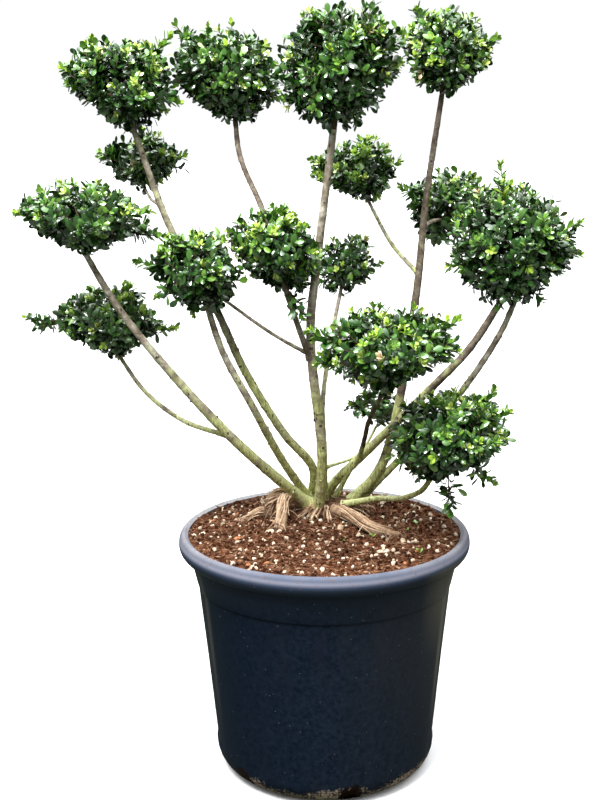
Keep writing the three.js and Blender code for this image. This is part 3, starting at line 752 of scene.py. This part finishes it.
def bark_limb(name, shape, seed, material):
    """A limb of bark with its nodes, and the knots where small twigs were once pruned off."""
    rng = np.random.default_rng(seed)
    places, radii = limb_strand(shape, rng)
    wood = strands_to_mesh(name, [(places, radii)], 6)
    roughen(wood, 0.009, 0.0014)
    roughen(wood, 0.003, 0.0006)
    wood.data.shade_smooth()
    wood.data.materials.append(material)
    chosen = rng.integers(4, len(places) - 4, max(2, len(places) // KNOT_STEPS))
    way = unit(places[chosen + 1] - places[chosen])
    outward = unit(np.cross(way, unit(rng.normal(size=way.shape))))
    sizes = radii[chosen, None] * rng.uniform(*KNOT_SIZES, (len(chosen), 1)) * np.array(KNOT_SHAPE)
    at = places[chosen] + outward * radii[chosen, None] * 0.98
    knots = joined(f"{name}_knots", [copies(KNOT, at, turned_to(way, outward), sizes)], BROWN_BARK)
    bpy.ops.object.select_all(action="DESELECT")
    knots.select_set(True)
    wood.select_set(True)
    bpy.context.view_layer.objects.active = wood
    bpy.ops.object.join()
    return wood


trunk = bark_limb("trunk_bark", TRUNK, 31, BARK)
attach(trunk, "root")
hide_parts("trunk")

rng = np.random.default_rng(21)
root_lines = [
    (smooth_route(root["route"], ROOT_STEPS), np.linspace(root["foot"], root["tip"], ROOT_STEPS))
    for root in ROOTS + FLARES
]
hearts = strands_to_mesh("root_hearts", [(line, ROOT_CORE * radii) for line, radii in root_lines], 2)
hearts.data.shade_smooth()
bpy.ops.object.select_all(action="DESELECT")
bpy.ops.mesh.primitive_uv_sphere_add(
    segments=64, ring_count=32, radius=1, location=CROWN_CENTRE, scale=CROWN_HALF)
mound = bpy.context.object
mound.name = "crown_mound"
bpy.ops.object.transform_apply()
roughen(mound, 0.02, 0.014)
roughen(mound, 0.006, 0.006)
for piece, material in ((hearts, ROOT_HEART), (mound, CROWN_WOOD)):
    piece.data.materials.append(material)
    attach(piece, "root")
TUBE_FACES = 2 * ROOT_SIDES * (ROOT_RINGS - 1) + 2 * (ROOT_SIDES - 2)
lots = [root_fibres(root, rng) for root in ROOTS + FLARES]
tinted("root_fibres", lots, TUBE_FACES, rng, (0.42, 0.4, 0.18))

# Root hair runs down over the crown, and rootlets stray from the roots onto the soil.
HAIR_COUNT = 90
HAIR_RADIUS = 0.0009
turns = rng.uniform(0, 2 * math.pi, HAIR_COUNT)
outward = np.column_stack([np.cos(turns), np.sin(turns), np.zeros(HAIR_COUNT)])
climb = rng.uniform(0.25, 0.9, (HAIR_COUNT, 1))
feet = CROWN_CENTRE + CROWN_HALF * (outward * np.sqrt(1 - climb**2) + climb * (0, 0, 1.05))
ends = CROWN_CENTRE + CROWN_HALF * (outward * rng.uniform(0.95, 1.25, (HAIR_COUNT, 1)))
ends += rng.normal(size=ends.shape) * (0.008, 0.008, 0.002)
ends[:, 2] = SOIL_LEVEL + 0.001
bends = (feet + ends) / 2 + 0.012 * outward + (0, 0, 0.006) + rng.normal(size=feet.shape) * 0.003
radii = np.full((HAIR_COUNT, ROOT_RINGS), HAIR_RADIUS)
hair = tubes(bent(feet, bends, ends, ROOT_RINGS), radii, ROOT_SIDES)
ROOTLET_COUNT = 45
lines = [root_lines[i % len(ROOTS)][0][16:] for i in range(ROOTLET_COUNT)]
feet = np.array([line[rng.integers(len(line))] for line in lines])
feet += rng.normal(size=feet.shape) * (0.006, 0.006, 0.003)
ways = unit(rng.normal(size=feet.shape) * (1, 1, 0.2) + (0, -0.6, -0.5))
ways *= rng.uniform(0.015, 0.045, (ROOTLET_COUNT, 1))
ends = feet + ways
ends[:, 2] = np.clip(ends[:, 2], SOIL_LEVEL - 0.002, SOIL_LEVEL + 0.003)
bends = feet + 0.5 * ways + rng.normal(size=feet.shape) * 0.004 + (0, 0, 0.004)
radii = np.linspace(0.0011, 0.0005, ROOT_RINGS) * rng.uniform(0.6, 1.3, (ROOTLET_COUNT, 1))
rootlets = tubes(bent(feet, bends, ends, ROOT_RINGS), radii, ROOT_SIDES)
tinted("root_hair", [hair, rootlets], TUBE_FACES, rng, (0.1, 0.4, 0.5))

# Stems and boughs: each is one smooth-barked limb that tapers from a collar on what it grows from,
# green with algae near the soil and grey-brown higher up, with small knots at its old nodes.
LIMBS = {
    "stem_top_right": limb(
        9.8, 4.6,
        (54, 109, 457), (110, 92, 533), (166, 76, 830), (187, 100, 1021), (215, 120, 1206)),
    "stem_left": limb(
        10.5, 5,
        (-29, 90, 459), (-159, 4, 605), (-270, -20, 738), (-350, -35, 849), (-403, -40, 945)),
    "stem_right_inner": limb(
        9, 6,
        (1, 134, 457), (27, 112, 499), (73, 88, 552), (182, 36, 678), (259, 10, 768), (308, 0, 849)),
    "stem_top_left": limb(
        8.3, 5.2,
        (-21, 124, 459), (-19, 85, 531), (-71, 50, 605), (-140, 16, 731), (-186, 5, 840),
        (-262, 20, 978), (-327, 40, 1159)),
    "stem_centre_left": limb(
        8.2, 5.2,
        (-23, 111, 459), (-75, 45, 557), (-127, -20, 676), (-175, -36, 775), (-200, -50, 863)),
    "stem_right_outer": limb(
        7, 4.8,
        (68, 113, 457), (142, 85, 545), (243, 50, 671), (313, 14, 795), (346, 6, 883)),
    "stem_front_low": limb(
        6, 4.6,
        (37, 84, 459), (101, 45, 482), (135, 10, 492), (170, -30, 517), (185, -72, 555)),
    "stem_top_left_centre": limb(
        5.2, 4.3,
        (-23, 27, 747), (-58, -15, 856), (-79, -20, 936), (-103, 0, 1012), (-142, 60, 1100),
        (-152, 90, 1178)),
    "bough_left_low": limb(4.8, 3.4, (-165, 3, 612), (-250, 30, 635), (-322, 60, 683), (-372, 77, 751)),
    "bough_back_left": limb(2.7, 2.2, (-281, 25, 1020), (-301, 80, 1026), (-323, 170, 1042)),
    "bough_centre_left": limb(3.3, 2.6, (-23, 27, 754), (-89, -10, 799), (-194, -49, 883)),
    "bough_back_centre": limb(
        5, 3.4,
        (5, 100, 457), (3, 68, 572), (0, 64, 657), (16, 110, 765), (38, 174, 855)),
    "bough_back_right": limb(3.8, 3, (171, 83, 893), (131, 140, 937), (87, 226, 1021)),
    "bough_far_right": limb(3.6, 3, (182, 94, 975), (204, 128, 982), (226, 168, 981)),
    "bough_front": limb(
        5, 3.4,
        (22, 112, 460), (47, 98, 514), (66, 80, 550), (75, 35, 599), (79, -25, 645), (99, -116, 720)),
    "bough_back_low": limb(2.8, 2.2, (6, 74, 534), (69, 108, 551), (105, 128, 604)),
}
OTHER_BARKS = {
    "bough_front": BROWN_BARK, "stem_top_left_centre": GREY_BARK, "stem_right_inner": GREY_BARK,
    "stem_top_right": GREY_BARK, "stem_top_left": MOSSY_BARK, "bough_back_right": MOSSY_BARK,
}
for number, (name, shape) in enumerate(LIMBS.items()):
    wood = bark_limb(f"{name}_bark", shape, 40 + number, OTHER_BARKS.get(name, BARK))
    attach(wood, "root")
    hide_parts(name)

# Clouds: the clipped masses of foliage. In each, branchlets fan out from the tip of the limb and
# fork into leafy twigs, and small glossy leaves stand round every twig in a spiral. The newest
# tips are lime green, and a few long shoots have grown out since the last clipping.
ALL_LIMBS = {"trunk": TRUNK, **LIMBS}
LIMB_TESTS = 90
STEEPEST_LEAN = 0.6
ROUND_PINCH = 0.45
FLAT_PINCH = 1
limb_lines = {name: smooth_route(shape["route"], LIMB_TESTS) for name, shape in ALL_LIMBS.items()}
limb_places = np.vstack(list(limb_lines.values()))
limb_tapers = [np.linspace(shape["foot"], shape["tip"], LIMB_TESTS) for shape in ALL_LIMBS.values()]
limb_radii = np.concatenate(limb_tapers)


def cloud(carrier, centre, half, slope, *shoots, stem_share=1, fresh=0):
    """A cloud in millimetres: its limb, centre, half sizes, slope to the right and tips of its shoots.

    Its stem leaves the limb at a share of its length. Under its middle the cloud leans towards that
    place, and it is drawn in, the more so the flatter it is. A fresh one has newer, paler leaves.
    """
    centre, half = np.array(centre) * MM, np.array(half) * MM
    tip = limb_lines[carrier][round((LIMB_TESTS - 1) * stem_share)]
    rise = centre - tip
    return {
        "carrier": carrier, "tip": tip, "centre": centre, "half": half, "slope": slope,
        "lean": np.clip(rise[:2] / rise[2], -STEEPEST_LEAN, STEEPEST_LEAN),
        "pinch": ROUND_PINCH + FLAT_PINCH * (1 - half[2] / half[0]),
        "shoots": np.array(shoots).reshape(-1, 3) * MM, "fresh": fresh,
    }


CLOUDS = {
    "cloud_top_left": cloud(
        "stem_top_left", (-343, 40, 1218), (98, 88, 84), -0.1,
        (84, 0, 80), (-46, 10, 78), (-95, 0, 30), (95, -10, -26)),
    "cloud_top_left_centre": cloud(
        "stem_top_left_centre", (-167, 90, 1232), (96, 86, 86), -0.06,
        (-83, 10, 90), (-27, -10, 82), (97, -20, -35)),
    "cloud_top_centre": cloud("trunk", (33, 0, 1241), (101, 90, 116), 0, (104, 0, 48), (-62, -10, 84)),
    "cloud_top_right": cloud(
        "stem_top_right", (221, 120, 1271), (81, 76, 80), -0.05,
        (-52, 0, 76), (-75, 10, 40), (84, 0, 27), fresh=0.12),
    "cloud_back_left": cloud(
        "bough_back_left", (-330, 200, 1088), (75, 70, 56), 0,
        (-74, 0, 19), (74, -10, 10), fresh=0.06),
    "cloud_left": cloud(
        "stem_left", (-404, -40, 998), (100, 92, 68), -0.12,
        (-106, 0, 12), (112, 0, 14), (134, 10, -28)),
    "cloud_left_low": cloud(
        "bough_left_low", (-388, 85, 805), (95, 90, 69), 0,
        (-144, 0, 12), (116, 10, -12), (42, 0, 64), fresh=0.16),
    "cloud_centre_left": cloud(
        "stem_centre_left", (-208, -50, 910), (80, 76, 74), 0.05,
        (-101, 0, 19), (-68, -10, -37), (-12, -10, -66)),
    "cloud_centre": cloud(
        "stem_top_left_centre", (-90, -30, 937), (84, 70, 77), -0.05,
        (54, -10, -104), stem_share=0.42, fresh=0.28),
    "cloud_back_centre": cloud(
        "bough_back_centre", (52, 180, 894), (57, 56, 57), 0,
        (56, 0, 6), (-55, 0, -30)),
    "cloud_back_right": cloud(
        "bough_back_right", (67, 240, 1066), (79, 76, 62), 0.06,
        (-78, 0, 24), (80, 0, 18), fresh=0.22),
    "cloud_far_right": cloud("bough_far_right", (245, 200, 1001), (80, 76, 69), 0, (-92, 0, 36)),
    "cloud_right": cloud(
        "stem_right_inner", (327, 0, 943), (105, 100, 114), -0.14,
        (-25, 0, 138), (110, 0, 41), (111, 0, -12), (-106, -10, -29), (46, -10, -88)),
    "cloud_front": cloud(
        "bough_front", (102, -130, 783), (112, 95, 77), 0.08,
        (-126, 0, 37), (-113, -10, -14), (114, 0, 54), (112, -10, 5), fresh=0.08),
    "cloud_front_low": cloud(
        "stem_front_low", (209, -100, 626), (101, 92, 87), 0.03,
        (2, -10, -119), (75, 0, 87), (98, 0, 49), (76, -10, -70), (-83, 0, -38), fresh=0.14),
    "cloud_back_low": cloud("bough_back_low", (104, 130, 634), (46, 46, 42), 0, (-46, 0, 7)),
}
CLOUD_SPACING = 0.02
CLOUD_REACH = 1.16
SPRIG_REACH = 1.45
SHOOT_START = 0.35
SHOOT_FORKS = 4
HIGHEST, LOWEST = 0.96, -0.86
LIMB_CLEARANCE = 0.002
GOLDEN_ANGLE = math.pi * (3 - math.sqrt(5))
ASKEW = (0.3, 0.2, 1)
UP = np.array([0.0, 0.0, 1.0])
USUAL_HALF = 0.09
BRANCHLETS = 27
BRANCHLET_SHARE = 0.64
FORKS = 10
FORK_SPREAD = 0.27
TWIG_SHARES = (0.8, 1.01)
YOUNG_SHARE = 0.13
YOUNG_MORE_ON_TOP = 0.16
TINT_STEPS = (0.42, 0.78, 1.08)
TIP_CHANCES = (0.3, 0.44, 0.24, 0.02)
LEAF_GAP = 0.0048
LEAF_LENGTH = (0.0140, 0.0235)
YOUNG_LENGTH = (0.008, 0.0145)
ROSETTE_LENGTH = 0.006
ROSETTE_LEAVES = 6
TWIG_RINGS = 5


def even_directions(count):
    """Directions spread evenly over a cloud by the golden angle, but for its very underside."""
    order = np.arange(count)
    height = HIGHEST + (LOWEST - HIGHEST) * (order + 0.5) / count
    level = np.sqrt(1 - height**2)
    turn = order * GOLDEN_ANGLE
    return np.column_stack([level * np.cos(turn), level * np.sin(turn), height])


def drawn_in(shape, height):
    """How far the underside is drawn in towards the stem at a height between -1 and 1."""
    return 1 + shape["pinch"] * np.clip(height, -1, 0)[:, None]


def place_in_cloud(shape, directions, shares):
    """The places in given directions, at shares of the way out to the cloud's surface."""
    offset = directions * shape["half"] * shares[:, None]
    offset[:, :2] *= drawn_in(shape, directions[:, 2])
    offset[:, :2] += shape["lean"] * np.minimum(offset[:, 2:], 0)
    offset[:, 2] += shape["slope"] * offset[:, 0]
    return shape["centre"] + offset


def share_out(shape, places):
    """0 at a cloud's centre and 1 on its surface."""
    offset = places - shape["centre"]
    offset[:, 2] -= shape["slope"] * offset[:, 0]
    offset[:, :2] -= shape["lean"] * np.minimum(offset[:, 2:], 0)
    offset /= shape["half"]
    offset[:, :2] /= drawn_in(shape, offset[:, 2])
    return np.linalg.norm(offset, axis=1)


def fits(name, places, reach):
    """True where a place is inside a cloud's reach, closest to it and clear of the limbs."""
    own = share_out(CLOUDS[name], places)
    good = own < reach
    for other, shape in CLOUDS.items():
        if other != name:
            good &= (share_out(shape, places) > own + CLOUD_SPACING) | np.isinf(reach)
    for place, radius in zip(limb_places, limb_radii):
        good &= np.linalg.norm(places - place, axis=1) > radius + LIMB_CLEARANCE
    return good


def leaf_model(arch, droop, curl):
    """A leaf of unit length, broadest past its middle, arched along its rib and curled across it."""
    stations = np.array([0.13, 0.36, 0.6, 0.8, 0.94])
    halves = np.array([0.08, 0.205, 0.265, 0.23, 0.12])
    rib = arch * stations * (1 - stations) - droop * stations**2
    edge = rib - curl * halves / halves.max()
    corners = [(0, 0, 0)]
    for along, half, middle, side in zip(stations, halves, rib, edge):
        corners += [(-half, along, side), (0, along, middle), (half, along, side)]
    corners.append((0, 1, -droop))
    last = len(corners) - 1
    triangles = [(0, 3, 2), (0, 2, 1), (last - 2, last - 1, last), (last - 3, last - 2, last)]
    for left in range(1, last - 3, 3):
        for a, b in ((left, left + 1), (left + 1, left + 2)):
            triangles += [(a, b, b + 3), (a, b + 3, a + 3)]
    return np.array(corners, float), np.array(triangles)


LEAVES = [leaf_model(0.3, 0.1, 0.1), leaf_model(0.2, 0.03, 0.055), leaf_model(0.36, 0.2, 0.13)]


def leaf_green(name, colour, roughness):
    finish = {"Roughness": roughness, "Specular_IOR_Level": 0.4, "Specular_Tint": (0.87, 1, 0.75, 1)}
    coat = {"Coat_Weight": 1, "Coat_Roughness": 0.08, "Coat_IOR": 1.9}
    return new_material(name, Base_Color=(*colour, 1), **finish, **coat)[0]


TINTS = [
    leaf_green("leaf_deep", (0.010, 0.037, 0.006), 0.3),
    leaf_green("leaf_dark", (0.027, 0.098, 0.015), 0.3),
    leaf_green("leaf_mid", (0.076, 0.205, 0.029), 0.3),
    leaf_green("leaf_fresh", (0.18, 0.37, 0.046), 0.34),
    leaf_green("leaf_lime", (0.38, 0.58, 0.055), 0.4),
    leaf_green("leaf_pale", (0.52, 0.66, 0.13), 0.42),
    leaf_green("leaf_dry", (0.56, 0.4, 0.23), 0.6),
]
DEEP, DARK, MIDDLE, FRESH, LIME, PALE, DRY = range(len(TINTS))
TWIG_BARK = grit_material("twig_bark", 0.8, 90, (0.35, (0.045, 0.032, 0.02)), (0.65, (0.13, 0.095, 0.06)))


def sagging(feet, ends, sag, stray, rng):
    """Routes between feet and ends that hang a little under the straight line and so turn up."""
    reach = np.linalg.norm(ends - feet, axis=1, keepdims=True)
    bends = (feet + ends) / 2 - sag * reach * UP + stray * reach * rng.normal(size=feet.shape)
    return np.stack([feet, bends, ends])


def route_places(routes, shares):
    """The place on each route at a share of its way, and the way it runs there."""
    feet, bends, ends = routes
    t = shares[:, None]
    places = (1 - t) ** 2 * feet + 2 * t * (1 - t) * bends + t**2 * ends
    return places, unit((1 - t) * (bends - feet) + t * (ends - bends))


def leaves_along(name, routes, start, gap, lengths, tilts, tints, reach, rng):
    """Leaves in a spiral along twigs, from a share of the way on: places, turns, lengths, tints."""
    counts = np.linalg.norm(routes[2] - routes[0], axis=1) * (1 - start) / gap
    counts = np.maximum(3, np.round(counts).astype(int))
    number = np.repeat(np.arange(len(counts)), counts)
    rank = np.arange(len(number)) - (np.cumsum(counts) - counts)[number]
    share = start + (1 - start) * (rank + rng.uniform(0.2, 0.9, len(rank))) / counts[number]
    spin = rank * GOLDEN_ANGLE + rng.uniform(0, 2 * math.pi, len(counts))[number]
    tilt = np.radians(np.interp(share, (start, 1), tilts)) + rng.normal(size=len(number)) * 0.15
    length = rng.uniform(*lengths, len(number)) * np.interp(share, (0.7, 1), (1, 0.85))

    places, ways = route_places(routes[:, number], share)
    side = unit(np.cross(ways, ASKEW))
    around = np.cos(spin)[:, None] * side + np.sin(spin)[:, None] * np.cross(ways, side)
    along = np.cos(tilt)[:, None] * ways + np.sin(tilt)[:, None] * around
    along = unit(along + 0.1 * UP + 0.1 * rng.normal(size=along.shape))
    facing = np.sin(tilt)[:, None] * ways - np.cos(tilt)[:, None] * around
    outward = unit(places - CLOUDS[name]["centre"])
    facing = facing + 0.3 * UP + 0.5 * outward + 0.2 * rng.normal(size=facing.shape)

    old, new = tints[number].T
    shift = rng.choice([-1, 0, 0, 0, 1], len(number))
    tint = np.where(share > 0.7, new, old)
    tint = np.where(tint < LIME, np.clip(tint + shift, DEEP, FRESH), tint)
    good = fits(name, places + along * length[:, None], np.broadcast_to(reach, len(counts))[number])
    return places[good], turned_to(along, facing)[good], length[good], tint[good]


def rosettes(name, routes, chosen, tints, reach, rng):
    """Clusters of young leaves at the ends of some routes."""
    ends, ways = route_places(routes[:, chosen], np.ones(len(chosen)))
    steps = np.array([-0.5, 0, 0.5])[:, None, None] * ROSETTE_LENGTH
    gap = ROSETTE_LENGTH / ROSETTE_LEAVES
    pair = np.column_stack([tints, tints])
    return leaves_along(name, ends + steps * ways, 0, gap, YOUNG_LENGTH, (54, 16), pair, reach, rng)


def grow_cloud(name, seed):
    """One cloud's twigs and leaves, grown on from the tip of the limb that carries it."""
    rng = np.random.default_rng(seed)
    shape = CLOUDS[name]
    tip = shape["tip"]
    stem_radius = ALL_LIMBS[shape["carrier"]]["tip"]

    # Branchlets fan out from the stem to about two thirds of the way
    size = np.prod(shape["half"]) ** (1 / 3)
    directions = even_directions(int(BRANCHLETS * (size / USUAL_HALF) ** 2))
    directions = unit(directions + 0.12 * rng.normal(size=directions.shape))
    count = len(directions)
    rise = np.clip(0.5 + 0.4 * directions[:, 2] + rng.uniform(-0.12, 0.12, count), 0.1, 1)
    feet = tip + (shape["centre"] - tip) * rise[:, None]
    vigour = rng.uniform(0.9, 1.1, count) + 0.1 * np.minimum(directions[:, 2], 0)
    ends = place_in_cloud(shape, directions, BRANCHLET_SHARE * vigour)
    branchlets = sagging(feet, ends, 0.06, 0.05, rng)

    # Each forks into twigs that reach the surface
    parent = np.repeat(np.arange(count), FORKS)
    aims = unit(directions[parent] + FORK_SPREAD * rng.normal(size=(len(parent), 3)))
    feet, _ = route_places(branchlets[:, parent], rng.uniform(0.4, 1, len(parent)))
    ends = place_in_cloud(shape, aims, vigour[parent] * rng.uniform(*TWIG_SHARES, len(parent)))

    # Long shoots grow past it, with sprigs of their own
    out = shape["shoots"]
    shoots = sagging(shape["centre"] + SHOOT_START * out, shape["centre"] + out, 0.1, 0.02, rng)
    bearer = np.repeat(np.arange(len(out)), SHOOT_FORKS)
    sprig_feet, _ = route_places(shoots[:, bearer], rng.uniform(0.1, 0.8, len(bearer)))
    stray = 0.009 * rng.normal(size=(len(bearer), 3))
    sprig_ends = shape["centre"] + out[bearer] * rng.uniform(0.62, 0.9, (len(bearer), 1)) + stray

    # Twigs stay inside their own cloud. Sprigs may leave it, and both keep clear of the limbs
    feet, ends = np.vstack([feet, sprig_feet]), np.vstack([ends, sprig_ends])
    reach = np.repeat([CLOUD_REACH, np.inf], [len(parent), len(bearer)])
    height = np.concatenate([aims[:, 2], np.full(len(bearer), 0.5)])
    kept = fits(name, ends, reach)
    twigs = sagging(feet[kept], ends[kept], 0.12, 0.06, rng)
    reach, height = reach[kept], height[kept]

    # Leaves are newer towards the top, and the youngest stand in rosettes at the tips. Higher leaves are
    # also dealt lighter greens, partly newer growth and partly painted light from above
    newness = 0.4 * shape["fresh"] + rng.random(len(height))
    chance = YOUNG_SHARE + YOUNG_MORE_ON_TOP * height + shape["fresh"]
    young = rng.random(len(height)) < chance
    # Partly painted light: the height adds to the tint, so upper leaves are dealt lighter greens
    tint = np.searchsorted(TINT_STEPS, newness + 0.25 * height)
    twig_tints = np.column_stack([tint, np.where(young, np.maximum(tint + 1, MIDDLE), tint)])
    # Partly painted shade: the leaves on the branchlets inside the cloud are old and all deep green
    inner_old_and_shaded = np.full((count, 2), DEEP)
    mixed = np.tile([MIDDLE, FRESH], (len(out), 1))
    tips = rng.choice([FRESH, LIME, PALE, DRY], young.sum(), p=TIP_CHANCES)
    limes = np.full(len(out), LIME)
    lots = [
        leaves_along(name, twigs, 0.15, LEAF_GAP, LEAF_LENGTH, (66, 38), twig_tints, reach, rng),
        leaves_along(name, branchlets, 0.5, 2 * LEAF_GAP, LEAF_LENGTH, (75, 60), inner_old_and_shaded, CLOUD_REACH, rng),
        leaves_along(name, shoots, SHOOT_START, 0.75 * LEAF_GAP, LEAF_LENGTH, (52, 30), mixed, np.inf, rng),
        rosettes(name, twigs, np.flatnonzero(young), tips, SPRIG_REACH, rng),
        rosettes(name, shoots, np.arange(len(out)), limes, np.inf, rng),
    ]

    # All the leaves are one piece, each a copy of one of the models in its own tint
    places, turns, lengths, tints = [np.concatenate(part) for part in zip(*lots)]
    model = rng.integers(len(LEAVES), size=len(places))
    sizes = np.repeat(lengths[:, None], 3, axis=1)
    sizes[:, 0] *= rng.uniform(0.85, 1.1, len(lengths))
    kinds = [np.flatnonzero(model == number) for number in range(len(LEAVES))]
    parts = [copies(leaf, places[kind], turns[kind], sizes[kind]) for leaf, kind in zip(LEAVES, kinds)]
    leaves = joined(f"{name}_leaves", parts, *TINTS)
    dealt = np.concatenate([np.repeat(tints[kind], len(leaf[1])) for leaf, kind in zip(LEAVES, kinds)])
    leaves.data.polygons.foreach_set("material_index", dealt.astype(np.int32))
    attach(leaves, "root")
    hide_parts(name)

    # So is all the fine wood that carries them
    stem = np.stack([tip, (tip + shape["centre"]) / 2, shape["centre"]])[:, None]
    wood = []
    for routes, foot, end, sides in (
        (stem, 0.95 * stem_radius, 0.5 * stem_radius, 8), (branchlets, 0.0022, 0.0012, 5),
        (twigs, 0.0012, 0.0007, 3), (shoots, 0.0013, 0.0008, 5),
    ):
        radii = np.linspace(foot, end, TWIG_RINGS) * rng.uniform(0.85, 1.15, (routes.shape[1], 1))
        wood.append(tubes(bent(*routes, TWIG_RINGS), radii, sides))
    twigwork = joined(f"{name}_twigs", wood, TWIG_BARK)
    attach(twigwork, "root")


for number, name in enumerate(CLOUDS):
    grow_cloud(name, number + 1)

# Seedlings: a few small weeds that have come up in the soil, each a rosette of round green leaves on
# the ground.
SEEDLINGS = np.array([(152, -15), (169, 25), (30, -62), (-45, 142), (83, -58), (161, -128)]) * MM
SEEDLING_LEAVES = 4
rng = np.random.default_rng(51)
feet = np.repeat(on_soil(SEEDLINGS), SEEDLING_LEAVES, axis=0)
turns = np.arange(len(feet)) * 2 * math.pi / SEEDLING_LEAVES + rng.uniform(0, 1, len(feet))
along = unit(np.column_stack([np.cos(turns), np.sin(turns), rng.uniform(0.3, 1.2, len(feet))]))
sizes = rng.uniform(0.006, 0.011, (len(feet), 1)) * np.ones(3)
rosette = copies(LEAVES[1], feet, turned_to(along, np.tile(UP, (len(feet), 1))), sizes)
seedlings = joined("seedlings", [rosette], TINTS[FRESH])
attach(seedlings, "root")

# Floor, light and camera: a pale floor under a bright overcast sky, seen from where the photograph
# was taken, a little above the plant and looking slightly down on it.
CAMERA_PLACE = (-0.0414, -2.0756, 1.1290)
CAMERA_PITCH = 0.2138
CAMERA_ROLL = -0.0085
FOCAL_LENGTH = 54.09
FLOOR_RADIUS = 60
FLOOR_LEVEL = -0.0005

bpy.ops.object.select_all(action="DESELECT")
bpy.ops.mesh.primitive_circle_add(
    vertices=64, radius=FLOOR_RADIUS, fill_type="NGON", location=(0, 0, FLOOR_LEVEL))
floor = bpy.context.object
floor.name = "floor"


def floor_white():
    """A floor that the camera sees as white, and that throws less light back up at the plant."""
    material, tree, shader = new_material("floor_white", Roughness=1, Specular_IOR_Level=0)
    seen = node(tree, "LightPath").outputs["Is Camera Ray"]
    colour = blend(tree, seen, (0.1, 0.115, 0.09), (0.95, 0.95, 0.95))
    tree.links.new(colour, shader.inputs["Base Color"])
    return material


floor.data.materials.append(floor_white())

HORIZON_LIGHT = 0.17
ZENITH_LIGHT = 5
LAMP_PLACE = (-0.9, -1.5, 3.4)
LAMP_TURN = (26, 0, -30)
LAMP_WATTS = 160
LAMP_SIZE = 1.4


def overcast_sky():
    """A sky that is brightest overhead, and plain white where the camera sees it."""
    world = bpy.data.worlds.new("overcast_sky")
    world.use_nodes = True
    tree = world.node_tree
    height = node(tree, "SeparateXYZ", {"Vector": node(tree, "TexCoord").outputs["Generated"]}).outputs["Z"]
    steep = product(tree, height, product(tree, height, height))
    light = limits(tree, steep, 0, 1, HORIZON_LIGHT, ZENITH_LIGHT)
    seen = node(tree, "LightPath").outputs["Is Camera Ray"]
    background = tree.nodes["Background"]
    background.inputs["Color"].default_value = (0.97, 0.985, 1, 1)
    tree.links.new(limits(tree, seen, 0, 1, light, 1.05), background.inputs["Strength"])
    return world


bpy.context.scene.world = overcast_sky()
bpy.ops.object.light_add(type="AREA", location=LAMP_PLACE, rotation=np.radians(LAMP_TURN))
lamp = bpy.context.object.data
lamp.energy = LAMP_WATTS
lamp.size = LAMP_SIZE

lens = bpy.data.cameras.new("camera")
lens.sensor_width = 36
lens.lens = FOCAL_LENGTH
camera = bpy.data.objects.new("camera", lens)
camera.location = CAMERA_PLACE
camera.rotation_mode = "ZYX"
camera.rotation_euler = (math.pi / 2 - CAMERA_PITCH, 0, CAMERA_ROLL)
bpy.context.collection.objects.link(camera)
bpy.context.scene.camera = camera
bpy.context.scene.view_settings.view_transform = "Standard"
